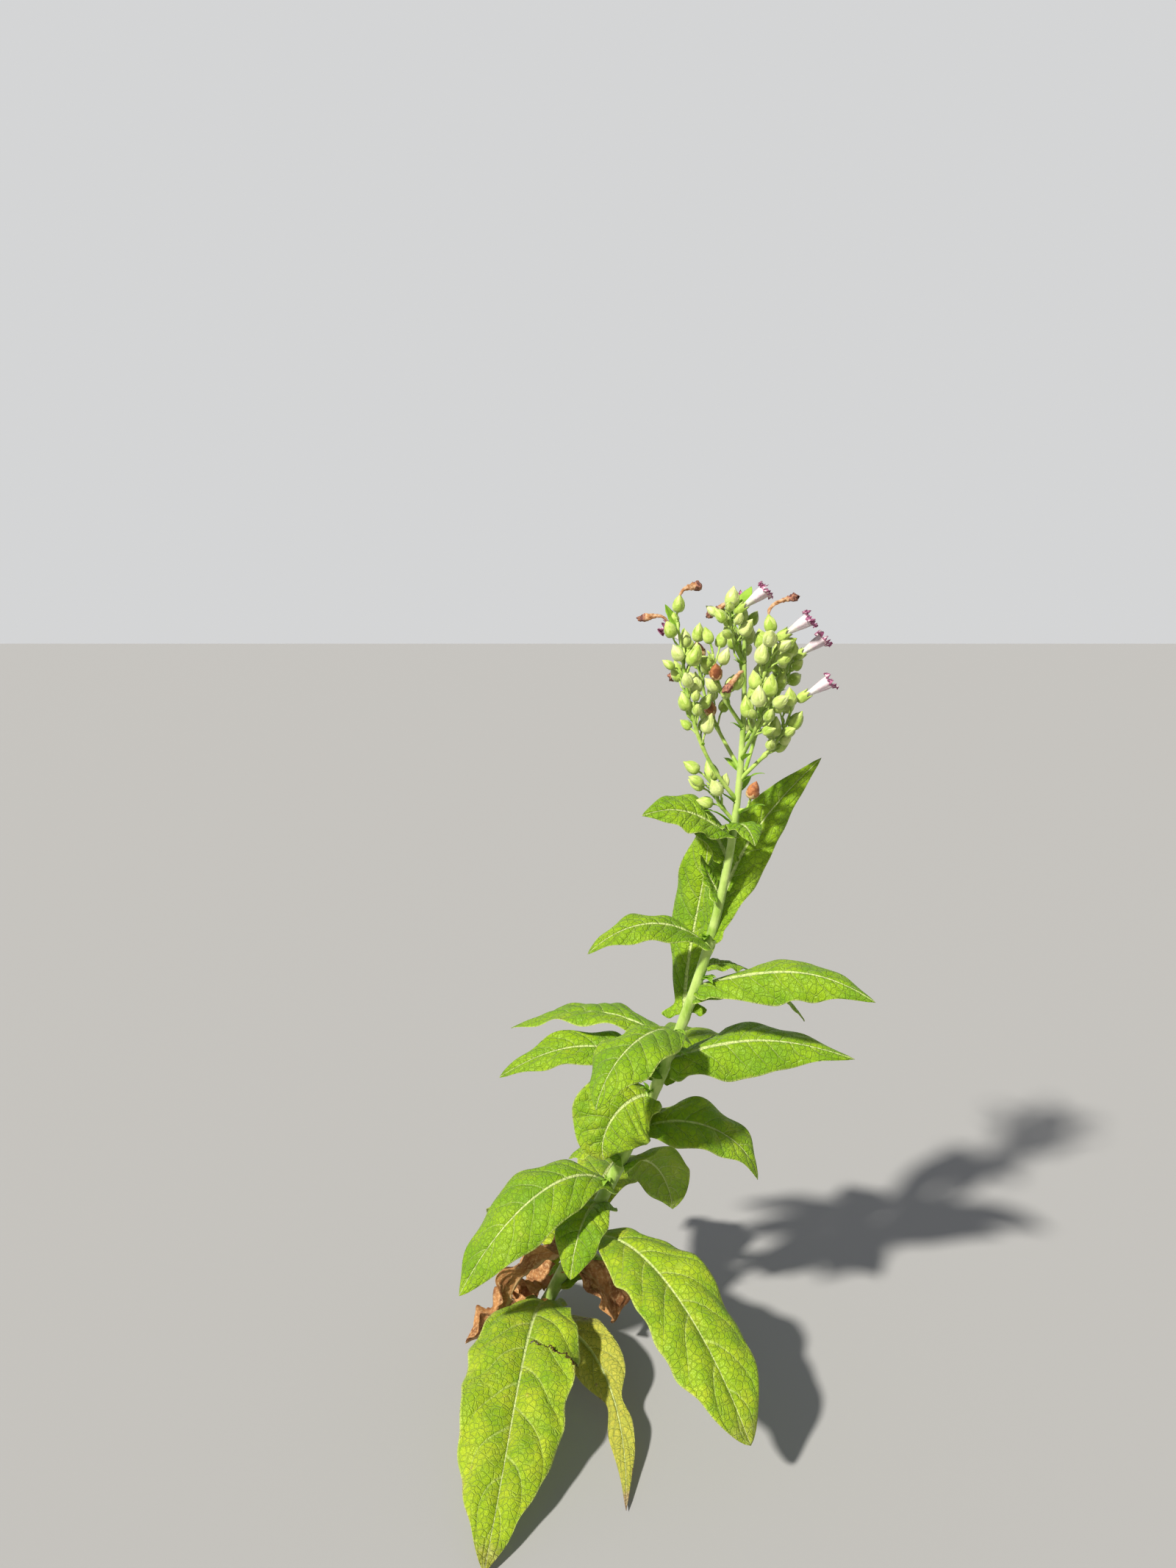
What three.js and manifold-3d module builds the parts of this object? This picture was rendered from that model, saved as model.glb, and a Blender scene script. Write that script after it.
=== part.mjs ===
// A tobacco plant in seed and late flower, rooted in the ground: one leaning stem, clasping leaves,
// withered leaves at its foot, and a head of branches that carry seed pods and trumpet flowers.
// Millimetres. +Z is up, +X is to the right and +Y is away from the viewer. The origin is the middle
// of the flat cut under the stem, at ground level. A bearing is in degrees from +X towards +Y.
import * as THREE from "three";
import { mergeVertices } from "three/addons/utils/BufferGeometryUtils.js";
import Module from "manifold-3d";

const wasm = await Module();
wasm.setup();

// Stem: a curve that leans to the right and towards the viewer, and straightens as it climbs.
const stemHeight = 1200;
const stemTopLean = [297, -285];
const stemLowHandle = [245, -235, 620];
const stemHighHandle = [312, -300, 820];
const stemFootRadius = 10.5;
const stemTopRadius = 2.4;
const stemTaper = 1.3; // above 1 it stays thick low down and thins near its top
const rootFlare = 5;
const flareHeight = 45;
const stemSides = 12;
const stemRings = 20;

// Gap that a leaf or a branch keeps to the stem, and the smallest height of anything above the ground.
const seatGap = 0.35;
const groundClearance = 1.5;

// Leaves: blade grid, and sizes that all of them share.
const bladeAcross = 4;
const bladeAlong = 10;
const claspShare = 2.5; // width of the foot for each millimetre of the stem's radius
const claspFade = 6;
const tipWidth = 3;
const thicknessShare = 0.011;
const handleShare = 0.42;
const rollStart = 0.3;
const cupLift = 0.3;
const edgeDrape = 0.34;
const rippleShare = 0.13;
const ripples = 3;
const bladeFullness = 1.9;
const rippleStep = 2.4;
const rippleOffset = 1.3;

// Each leaf: at is its place on the stem from 0 to 1, bearing the way that it points, reach how far its
// tip stands out, drop how far its tip hangs below its root, and rise and fall the slopes of its midrib
// at the root and the tip. Widest is where along the midrib its full width is, sweep how far its root
// points to one side of the bearing and its tip to the other, roll how far it turns about its midrib, and
// fold how steeply its two halves hang from the midrib.
const usualLeaf = { widest: 0.5, sweep: 0, roll: 0, fold: 0 };
const leaves = [
  {
    at: 0.015, bearing: 289, reach: 422, drop: 22, rise: 26, fall: -6, width: 76, widest: 0.36,
    sweep: 22, roll: 34,
  },
  { at: 0.04, bearing: 262.5, reach: 500, drop: 62, rise: 36, fall: -14, width: 160 },
  { at: 0.066, bearing: 22, reach: 160, drop: 66, rise: 35, fall: -52, width: 74, roll: 10 },
  { at: 0.095, bearing: 114, reach: 310, drop: 84, rise: 40, fall: -42, width: 132, widest: 0.55 },
  { at: 0.122, bearing: 305, reach: 408, drop: 102, rise: 42, fall: -54, width: 132, widest: 0.62, roll: 4 },
  { at: 0.15, bearing: 72, reach: 320, drop: 92, rise: 44, fall: -46, width: 126, widest: 0.55 },
  { at: 0.178, bearing: 246, reach: 108, drop: 70, rise: 30, fall: -84, width: 74 },
  {
    at: 0.205, bearing: 205, reach: 246, drop: 123, rise: 46, fall: -64, width: 108, sweep: 10, roll: -22,
    fold: 0.2,
  },
  { at: 0.23, bearing: 32, reach: 104, drop: 100, rise: 26, fall: -84, width: 92, roll: -50 },
  { at: 0.245, bearing: 170, reach: 84, drop: 10, rise: 30, fall: -40, width: 46, widest: 0.52 },
  { at: 0.277, bearing: 350, reach: 186, drop: 55, rise: 42, fall: -80, width: 92, widest: 0.4, roll: 22 },
  { at: 0.307, bearing: 115, reach: 56, drop: 82, rise: 45, fall: -88, width: 70 },
  { at: 0.335, bearing: 206, reach: 78, drop: 84, rise: 22, fall: -110, width: 122, widest: 0.5, roll: -48 },
  { at: 0.352, bearing: 66, reach: 262, drop: 48, rise: 46, fall: -46, width: 100 },
  { at: 0.368, bearing: 178, reach: 236, drop: 8, rise: 40, fall: -36, width: 64, roll: -25 },
  {
    at: 0.393, bearing: 354, reach: 264, drop: -10, rise: 21, fall: -18, width: 88, widest: 0.38, roll: 34,
    fold: 0.5,
  },
  { at: 0.413, bearing: 156, reach: 262, drop: 16, rise: 29, fall: -26, width: 76 },
  { at: 0.428, bearing: 231, reach: 187, drop: 46, rise: 40, fall: -76, width: 98, sweep: 12, fold: 0.2 },
  { at: 0.455, bearing: 56, reach: 66, drop: -284, rise: 48, fall: 88, width: 80, widest: 0.58, sweep: 30 },
  { at: 0.482, bearing: 11, reach: 170, drop: 44, rise: 28, fall: -56, width: 74, widest: 0.48 },
  {
    at: 0.507, bearing: 340, reach: 246, drop: -4, rise: 17, fall: -30, width: 70, widest: 0.45, roll: 34,
    fold: 0.6,
  },
  { at: 0.532, bearing: 26, reach: 80, drop: 16, rise: 6, fall: -25, width: 40, widest: 0.46 },
  {
    at: 0.565, bearing: 196, reach: 173, drop: -4, rise: 44, fall: -42, width: 60, widest: 0.45, roll: -20,
    fold: 0.2,
  },
  { at: 0.572, bearing: 26.7, reach: 179, drop: -242, rise: 74, fall: 36, width: 70, widest: 0.42, roll: 52 },
  { at: 0.635, bearing: 150, reach: 30, drop: -58, rise: 60, fall: 70, width: 32, widest: 0.44 },
  { at: 0.69, bearing: 118, reach: 136, drop: -40, rise: 52, fall: -8, width: 48, widest: 0.44 },
  { at: 0.725, bearing: 196, reach: 127, drop: -38, rise: 38, fall: -18, width: 68, widest: 0.45, roll: -34 },
  { at: 0.74, bearing: 288, reach: 66, drop: 10, rise: 30, fall: -55, width: 42, widest: 0.42 },
];

// Withered leaves: they hang folded and crumpled from the lowest part of the stem.
const witheredLeaves = [
  { at: 0.026, bearing: 196, reach: 128, drop: 34, rise: 5, fall: -24, width: 72, roll: 20 },
  { at: 0.052, bearing: 124, reach: 84, drop: 68, rise: 15, fall: -76, width: 66, roll: -30 },
  { at: 0.084, bearing: 356, reach: 80, drop: 92, rise: 5, fall: -84, width: 56, widest: 0.55, roll: 40 },
  { at: 0.107, bearing: 194, reach: 112, drop: 98, rise: 8, fall: -84, width: 60, roll: 30 },
];
const witheredCup = 1.1;
const witheredRipple = 0.42;

// Flower head: the branches that leave the stem, and the pods and flowers on their twigs.
const headFoot = 0.7;
const branchRise = 48;
const branchTipRise = 80;
const branchFootRadius = 2.9;
const branchTipRadius = 1.5;
const branchSides = 4;
const branchSteps = 4;
const twigRadius = 1.3;
const twigOpening = 44;
const twigTurn = 137.5;
const twigTurnSpread = 40;
const twigLift = 0.35;
const tipTwigLength = 6;
const firstTwig = 0.3;
const twigSpan = 0.62;
const pedicel = 7;
const pedicelRadius = 1.17;
const pedicelSunk = 2;
const podLength = 25;
const podRadius = 8.3;
const podOpening = 27;
const podLift = 0.2;
const smallestPod = 0.82;
const podSpread = 0.3;
const flowerLength = 50;
const flowerRadius = 10.5;
const flowerRise = 5;
const flowerRiseSpread = 20;
const flowerAside = 2;
const headClearance = 1.2;
const ballSpacing = 6;

// Each branch: reach and climb place its tip, twigs is how many leave it, and flowers the bearings of
// those at its tip.
const branches = [
  { at: 0.748, bearing: 196, reach: 34, climb: 60, twigs: 4, twigLength: 17, flowers: [] },
  { at: 0.762, bearing: 325, reach: 18, climb: 10, twigs: 0, twigLength: 8, flowers: [] },
  { at: 0.778, bearing: 197, reach: 88, climb: 236, twigs: 8, twigLength: 14, flowers: [] },
  { at: 0.792, bearing: 60, reach: 88, climb: 160, twigs: 5, twigLength: 15, flowers: [70] },
  { at: 0.806, bearing: 336, reach: 68, climb: 104, twigs: 5, twigLength: 14, flowers: [352] },
  { at: 0.82, bearing: 130, reach: 84, climb: 150, twigs: 5, twigLength: 15, flowers: [150] },
  { at: 0.836, bearing: 290, reach: 58, climb: 90, twigs: 7, twigLength: 14, flowers: [] },
  { at: 0.858, bearing: 15, reach: 62, climb: 100, twigs: 4, twigLength: 14, flowers: [15] },
  { at: 0.876, bearing: 215, reach: 54, climb: 98, twigs: 5, twigLength: 14, flowers: [] },
  { at: 0.9, bearing: 320, reach: 40, climb: 86, twigs: 5, twigLength: 13, flowers: [350] },
  { at: 0.925, bearing: 95, reach: 38, climb: 78, twigs: 4, twigLength: 13, flowers: [80] },
  { at: 0.955, bearing: 215, reach: 26, climb: 58, twigs: 4, twigLength: 12, flowers: [5] },
];

const leafGreen = new THREE.MeshStandardMaterial({ color: 0x6fa61f, roughness: 0.6, metalness: 0 });
const witheredBrown = new THREE.MeshStandardMaterial({ color: 0x8a5a34, roughness: 0.9, metalness: 0 });
const stemGreen = new THREE.MeshStandardMaterial({ color: 0x7fa843, roughness: 0.65, metalness: 0 });
const headGreen = new THREE.MeshStandardMaterial({ color: 0xa3c25e, roughness: 0.6, metalness: 0 });

const up = new THREE.Vector3(0, 0, 1);
const right = new THREE.Vector3(1, 0, 0);

// The next number from 0 to 1 of a seeded row, which is the same on every run.
function seededRow(seed) {
  let state = seed;
  return () => {
    state = (state * 1664525 + 1013904223) % 4294967296;
    return state / 4294967296;
  };
}

function outward(bearing, elevation = 0) {
  const b = THREE.MathUtils.degToRad(bearing);
  const e = THREE.MathUtils.degToRad(elevation);
  return new THREE.Vector3(Math.cos(b) * Math.cos(e), Math.sin(b) * Math.cos(e), Math.sin(e));
}

const stemCurve = new THREE.CubicBezierCurve3(
  new THREE.Vector3(0, 0, 0),
  new THREE.Vector3(...stemLowHandle),
  new THREE.Vector3(...stemHighHandle),
  new THREE.Vector3(...stemTopLean, stemHeight),
);

function stemRadius(at) {
  const height = stemCurve.getPoint(at).z;
  const flare = rootFlare * Math.max(0, 1 - height / flareHeight) ** 2;
  return THREE.MathUtils.lerp(stemFootRadius, stemTopRadius, at ** stemTaper) + flare;
}

// A closed geometry whose points are moved one by one: place gets a point and changes it.
function shaped(geometry, place) {
  geometry.deleteAttribute("normal");
  geometry.deleteAttribute("uv");
  const merged = mergeVertices(geometry, 1e-4);
  const position = merged.getAttribute("position");
  const point = new THREE.Vector3();
  for (let i = 0; i < position.count; i++) {
    point.fromBufferAttribute(position, i);
    place(point);
    position.setXYZ(i, point.x, point.y, point.z);
  }
  return merged;
}

function solidOf(geometry) {
  return new wasm.Manifold(
    new wasm.Mesh({
      numProp: 3,
      vertProperties: new Float32Array(geometry.getAttribute("position").array),
      triVerts: new Uint32Array(geometry.index.array),
    }),
  );
}

function geometryOf(solid) {
  const mesh = solid.getMesh();
  const geometry = new THREE.BufferGeometry();
  geometry.setAttribute("position", new THREE.BufferAttribute(new Float32Array(mesh.vertProperties), 3));
  geometry.setIndex(new THREE.BufferAttribute(new Uint32Array(mesh.triVerts), 1));
  geometry.computeVertexNormals();
  return geometry;
}

// A round limb along a curve, whose radius is a function of the place on the curve.
function limb(curve, radiusAt, sides, rings, across) {
  return shaped(new THREE.CylinderGeometry(1, 1, 1, sides, rings), (p) => {
    const t = p.y + 0.5;
    const tangent = curve.getTangent(t);
    const side = across.clone().addScaledVector(tangent, -across.dot(tangent)).normalize();
    const third = new THREE.Vector3().crossVectors(side, tangent);
    const radius = radiusAt(t);
    const centre = curve.getPoint(t);
    const out = side.multiplyScalar(p.x * radius).addScaledVector(third, p.z * radius);
    p.copy(centre.add(out));
  });
}

function stemSolid(extraRadius) {
  const radius = (t) => stemRadius(t) + extraRadius;
  const geometry = limb(stemCurve, radius, stemSides, stemRings, right);
  const position = geometry.getAttribute("position");
  // The foot is cut flat at ground level, so the lowest ring is level.
  for (let i = 0; i < position.count; i++) {
    if (position.getZ(i) < stemFootRadius) position.setZ(i, 0);
  }
  return solidOf(geometry);
}

// The midrib of a leaf, or the middle of a branch: it starts on the stem's own middle line.
function arching(from, bearing, reach, climb, rise, fall, sweep) {
  const tip = from.clone().addScaledVector(outward(bearing), reach).addScaledVector(up, climb);
  const handle = from.distanceTo(tip) * handleShare;
  return new THREE.CubicBezierCurve3(
    from,
    from.clone().addScaledVector(outward(bearing + sweep, rise), handle),
    tip.clone().addScaledVector(outward(bearing - sweep, fall), -handle),
    tip,
  );
}

// Half the width of a leaf at t: a narrow clasping foot, then a blade that is widest at one place and
// ends in a point.
function halfWidth(leaf, t) {
  const before = leaf.widest * bladeFullness;
  const after = (1 - leaf.widest) * bladeFullness;
  const body = (t / leaf.widest) ** before * ((1 - t) / (1 - leaf.widest)) ** after;
  const clasp = claspShare * stemRadius(leaf.at);
  return (clasp * (1 - t) ** claspFade + leaf.width * body + tipWidth) / 2;
}

// A slab of unit size in squares. Both faces are cut along the same diagonals, mirrored about the middle
// line, so that a thin blade bent from it never crosses itself.
function slabGeometry(across, along) {
  const position = [];
  for (let j = 0; j <= along; j++) {
    for (let i = 0; i <= across; i++) {
      position.push(i / across - 0.5, -0.5, j / along - 0.5);
      position.push(i / across - 0.5, 0.5, j / along - 0.5);
    }
  }
  const below = (i, j) => 2 * (j * (across + 1) + i);
  const above = (i, j) => below(i, j) + 1;
  const index = [];
  const quad = (a, b, c, d) => index.push(a, b, c, a, c, d);
  for (let j = 0; j < along; j++) {
    for (let i = 0; i < across; i++) {
      const corners = [[i, j], [i + 1, j], [i + 1, j + 1], [i, j + 1]];
      if (i < across / 2) corners.push(corners.shift());
      const [a, b, c, d] = corners;
      quad(above(...a), above(...d), above(...c), above(...b));
      quad(below(...a), below(...b), below(...c), below(...d));
    }
    quad(below(0, j), below(0, j + 1), above(0, j + 1), above(0, j));
    quad(below(across, j), above(across, j), above(across, j + 1), below(across, j + 1));
  }
  for (let i = 0; i < across; i++) {
    quad(below(i, 0), above(i, 0), above(i + 1, 0), below(i + 1, 0));
    quad(below(i, along), below(i + 1, along), above(i + 1, along), above(i, along));
  }
  const geometry = new THREE.BufferGeometry();
  geometry.setAttribute("position", new THREE.Float32BufferAttribute(position, 3));
  return geometry.setIndex(index);
}

function bladeGeometry(leaf, index, cup, drape, ripple) {
  const { bearing, reach, drop, rise, fall, sweep } = leaf;
  const midrib = arching(stemCurve.getPoint(leaf.at), bearing, reach, -drop, rise, fall, sweep);
  const thickness = midrib.getLength() * thicknessShare;
  const level = outward(bearing + 90);
  return shaped(slabGeometry(bladeAcross, bladeAlong), (p) => {
    const t = p.z + 0.5;
    const v = p.x * 2;
    const tangent = midrib.getTangent(t);
    const roll = THREE.MathUtils.degToRad(leaf.roll) * Math.min(1, t / rollStart);
    const across = level.clone().addScaledVector(tangent, -level.dot(tangent)).normalize();
    across.applyAxisAngle(tangent, roll);
    const normal = new THREE.Vector3().crossVectors(tangent, across);
    const half = halfWidth(leaf, t);
    const phase = index * rippleStep + (v > 0 ? rippleOffset : 0);
    const wave = Math.sin(2 * Math.PI * ripples * t + phase);
    const lift = half * ((cup - leaf.fold) * Math.abs(v) - drape * v * v + ripple * Math.abs(v) ** 3 * wave);
    const centre = midrib.getPoint(t);
    const lowest = groundClearance + (p.y + 0.5) * thickness;
    p.copy(centre.addScaledVector(across, v * half).addScaledVector(normal, lift + p.y * thickness));
    p.z = Math.max(p.z, lowest);
  });
}

// The largest of the pieces that a cut leaves.
function largestPiece(solid) {
  return solid.decompose().reduce((a, b) => (a.volume() > b.volume() ? a : b));
}

// A seed pod in its calyx, from its foot at the origin along +Y.
function podGeometry(length, radius) {
  const profile = [[0, 0], [0.8, 0.16], [1, 0.45], [0.55, 0.84], [0, 1]];
  return new THREE.LatheGeometry(profile.map(([r, y]) => new THREE.Vector2(r * radius, y * length)), 5);
}

// A trumpet flower in its calyx, with a flat rim and a shallow throat, from its foot at the origin along +Y.
function flowerGeometry(length, radius) {
  const profile = [[0, 0], [0.42, 0.06], [0.42, 0.3], [0.26, 0.38], [0.5, 0.88], [1, 1], [0, 0.92]];
  return new THREE.LatheGeometry(profile.map(([r, y]) => new THREE.Vector2(r * radius, y * length)), 6);
}

function standing(geometry, foot, direction) {
  const turn = new THREE.Quaternion().setFromUnitVectors(new THREE.Vector3(0, 1, 0), direction);
  return solidOf(shaped(geometry, (p) => p.applyQuaternion(turn).add(foot)));
}

function straight(from, to, radius) {
  const curve = new THREE.LineCurve3(from, to);
  const direction = to.clone().sub(from).normalize();
  const across = new THREE.Vector3().crossVectors(direction, Math.abs(direction.x) > 0.8 ? up : right);
  return solidOf(limb(curve, () => radius, 3, 1, across.normalize()));
}

// What the head already holds, as balls, so that a twig that would touch another branch is skipped.
const taken = [];
function ballsAlong(from, to, radius, owner, fruit) {
  const count = Math.max(2, Math.ceil(from.distanceTo(to) / ballSpacing));
  const balls = [];
  for (let i = 0; i <= count; i++) {
    balls.push({ centre: from.clone().lerp(to, i / count), radius, owner, fruit });
  }
  return balls;
}

function isClear(balls) {
  return balls.every((ball) =>
    taken.every((other) => {
      const joined = other.owner === ball.owner && !(ball.fruit && other.fruit);
      return joined || ball.centre.distanceTo(other.centre) > ball.radius + other.radius + headClearance;
    }),
  );
}

// The twigs of one branch, each with a pair of pods or a flower: where they start, fork and end.
function twigsOf(branch, index, path) {
  const next = seededRow(101 + index * 17);
  const level = outward(branch.bearing + 90);
  const found = [];
  for (let i = 0; i < branch.twigs; i++) {
    const along = firstTwig + (twigSpan * (i + 0.5)) / branch.twigs;
    const turn = THREE.MathUtils.degToRad(twigTurn * i + twigTurnSpread * next());
    const tangent = path.getTangent(along);
    const normal = new THREE.Vector3().crossVectors(tangent, level);
    const side = level.clone().multiplyScalar(Math.cos(turn)).addScaledVector(normal, Math.sin(turn));
    const opening = THREE.MathUtils.degToRad(twigOpening);
    const direction = tangent.multiplyScalar(Math.cos(opening)).addScaledVector(side, Math.sin(opening));
    direction.addScaledVector(up, twigLift).normalize();
    const from = path.getPoint(along);
    const length = branch.twigLength * (0.8 + 0.5 * next());
    found.push(twigWithPods(from, direction, length, index, next));
  }
  found.push(twigWithPods(path.getPoint(1), path.getTangent(1), tipTwigLength, index, next));
  return found.filter(Boolean);
}

// The flowers at the tip of one branch. They take their places before any pod does.
function flowersOf(branch, index, path) {
  const next = seededRow(503 + index * 13);
  const tip = path.getPoint(1);
  const found = branch.flowers.map((bearing) => {
    const aside = outward(bearing, flowerRise + flowerRiseSpread * next());
    const direction = path.getTangent(1).addScaledVector(aside, flowerAside).normalize();
    return twigWithFlower(tip, direction, index);
  });
  return found.filter(Boolean);
}

function twigWithPods(from, direction, length, owner, next) {
  const fork = from.clone().addScaledVector(direction, length);
  const aside = new THREE.Vector3().crossVectors(direction, up).normalize();
  aside.applyAxisAngle(direction, Math.PI * next());
  const opening = THREE.MathUtils.degToRad(podOpening);
  const pods = [];
  for (const sign of [-1, 1]) {
    const size = smallestPod + podSpread * next();
    const lean = direction.clone().multiplyScalar(Math.cos(opening));
    lean.addScaledVector(aside, sign * Math.sin(opening)).addScaledVector(up, podLift).normalize();
    const foot = fork.clone().addScaledVector(lean, pedicel);
    const end = foot.clone().addScaledVector(lean, podLength * size);
    const belly = [foot.clone().lerp(end, 0.25), foot.clone().lerp(end, 0.75)];
    const balls = ballsAlong(...belly, podRadius * size, owner, true);
    if (isClear(balls)) {
      taken.push(...balls);
      pods.push({ foot, lean, size });
    }
  }
  const twigBalls = ballsAlong(from, fork, twigRadius, owner, false);
  if (!pods.length || !isClear(twigBalls)) return null;
  taken.push(...twigBalls);
  return { from, fork, pods, flowers: [] };
}

function twigWithFlower(from, direction, owner) {
  const foot = from.clone().addScaledVector(direction, pedicel);
  const mouth = foot.clone().addScaledVector(direction, flowerLength);
  const tube = ballsAlong(foot, foot.clone().lerp(mouth, 0.8), flowerRadius * 0.35, owner, true);
  const rim = [{ centre: mouth, radius: flowerRadius, owner, fruit: true }];
  if (!isClear([...tube, ...rim])) return null;
  taken.push(...tube, ...rim);
  return { from, fork: from, pods: [], flowers: [{ foot, lean: direction }] };
}

// A pod or a flower on its own short stalk.
function fruit(geometry, fork, { foot, lean }) {
  const stalk = straight(fork, foot.clone().addScaledVector(lean, pedicelSunk), pedicelRadius);
  return stalk.add(standing(geometry, foot, lean));
}

function branchSolid(branch, index, path, flowers, stem) {
  const level = outward(branch.bearing + 90);
  const radius = (t) => THREE.MathUtils.lerp(branchFootRadius, branchTipRadius, t);
  let solid = solidOf(limb(path, radius, branchSides, branchSteps, level)).subtract(stem);
  for (const twig of [...twigsOf(branch, index, path), ...flowers]) {
    if (twig.from !== twig.fork) solid = solid.add(straight(twig.from, twig.fork, twigRadius));
    for (const pod of twig.pods) {
      const shape = podGeometry(podLength * pod.size, podRadius * pod.size);
      solid = solid.add(fruit(shape, twig.fork, pod));
    }
    for (const flower of twig.flowers) {
      solid = solid.add(fruit(flowerGeometry(flowerLength, flowerRadius), twig.fork, flower));
    }
  }
  return largestPiece(solid);
}

function branchPath(branch) {
  const foot = stemCurve.getPoint(branch.at);
  return arching(foot, branch.bearing, branch.reach, branch.climb, branchRise, branchTipRise, 0);
}

function addMesh(group, name, solid, material) {
  const mesh = new THREE.Mesh(geometryOf(solid), material);
  mesh.name = name;
  group.add(mesh);
}

const plant = new THREE.Group();
addMesh(plant, "stem", stemSolid(0), stemGreen);
const seat = stemSolid(seatGap);

function addBlades(rows, name, material, cup, ripple) {
  rows.forEach((row, i) => {
    const blade = solidOf(bladeGeometry({ ...usualLeaf, ...row }, i, cup, edgeDrape, ripple));
    addMesh(plant, name(i + 1), largestPiece(blade.subtract(seat)), material);
  });
}

const twoDigits = (number) => String(number).padStart(2, "0");
addBlades(leaves, (number) => `leaf_${twoDigits(number)}`, leafGreen, cupLift, rippleShare);
addBlades(witheredLeaves, (number) => `withered_leaf_${number}`, witheredBrown, witheredCup, witheredRipple);

for (let at = headFoot; at <= 1; at += 0.01) {
  taken.push({ centre: stemCurve.getPoint(at), radius: stemRadius(at), owner: "stem", fruit: false });
}
const paths = branches.map(branchPath);
paths.forEach((path, i) => {
  for (let k = 1; k <= 12; k++) {
    taken.push({ centre: path.getPoint(k / 12), radius: branchFootRadius, owner: i, fruit: false });
  }
});
const blooms = branches.map((branch, i) => flowersOf(branch, i, paths[i]));
branches.forEach((branch, i) => {
  const solid = branchSolid(branch, i, paths[i], blooms[i], seat);
  addMesh(plant, `head_branch_${twoDigits(i + 1)}`, solid, headGreen);
});

export default plant;
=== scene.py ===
import math

import bpy
import numpy as np
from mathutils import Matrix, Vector


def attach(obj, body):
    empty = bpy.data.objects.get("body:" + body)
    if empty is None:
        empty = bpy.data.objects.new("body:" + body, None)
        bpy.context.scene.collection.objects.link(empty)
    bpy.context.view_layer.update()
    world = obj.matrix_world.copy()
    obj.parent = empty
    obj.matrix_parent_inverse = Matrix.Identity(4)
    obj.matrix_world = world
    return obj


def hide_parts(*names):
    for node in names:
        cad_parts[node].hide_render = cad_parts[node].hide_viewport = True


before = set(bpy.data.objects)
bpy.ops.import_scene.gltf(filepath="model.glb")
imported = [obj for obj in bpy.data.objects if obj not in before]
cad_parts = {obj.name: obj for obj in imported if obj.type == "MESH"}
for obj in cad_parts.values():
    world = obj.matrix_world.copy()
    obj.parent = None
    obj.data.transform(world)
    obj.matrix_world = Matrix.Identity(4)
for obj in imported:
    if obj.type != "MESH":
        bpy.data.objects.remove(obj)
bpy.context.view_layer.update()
print("frame loaded:", len(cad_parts), "nodes")

# Plant lengths are in millimetres, bearings in degrees from +X towards +Y, and meshes are made in metres.
metre = 0.001
up = np.array([0.0, 0, 1])


def addObject(name, data):
    thing = bpy.data.objects.new(name, data)
    bpy.context.scene.collection.objects.link(thing)
    return thing


def meshOf(name, points, faces=(), flatFaces=slice(0)):
    mesh = bpy.data.meshes.new(name)
    mesh.from_pydata(np.asarray(points, float).tolist(), [], faces)
    smooth = np.ones(len(faces), bool)
    smooth[flatFaces] = False
    mesh.polygons.foreach_set("use_smooth", smooth)
    return mesh


# One number, or three, for each point of a mesh.
def setOnPoints(mesh, name, values):
    values = np.asarray(values, float).reshape(len(mesh.vertices), -1)
    kind, field = ("FLOAT", "value") if values.shape[1] == 1 else ("FLOAT_VECTOR", "vector")
    mesh.attributes.new(name, kind, "POINT").data.foreach_set(field, values.ravel())


# Nodes of any tree. Every helper returns a socket, so that sums read from the inside out.
class NodeWork:
    def __init__(self, tree):
        self.tree = tree

    def node(self, kind, inputs=None, output=0, **settings):
        made = self.tree.nodes.new(kind)
        for key, value in settings.items():
            setattr(made, key, value)
        for key, value in (inputs or {}).items():
            self.feed(made.inputs[key], value)
        return made.outputs[output]

    def feed(self, socket, value):
        if isinstance(value, bpy.types.NodeSocket):
            self.tree.links.new(value, socket)
        else:
            socket.default_value = value


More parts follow.
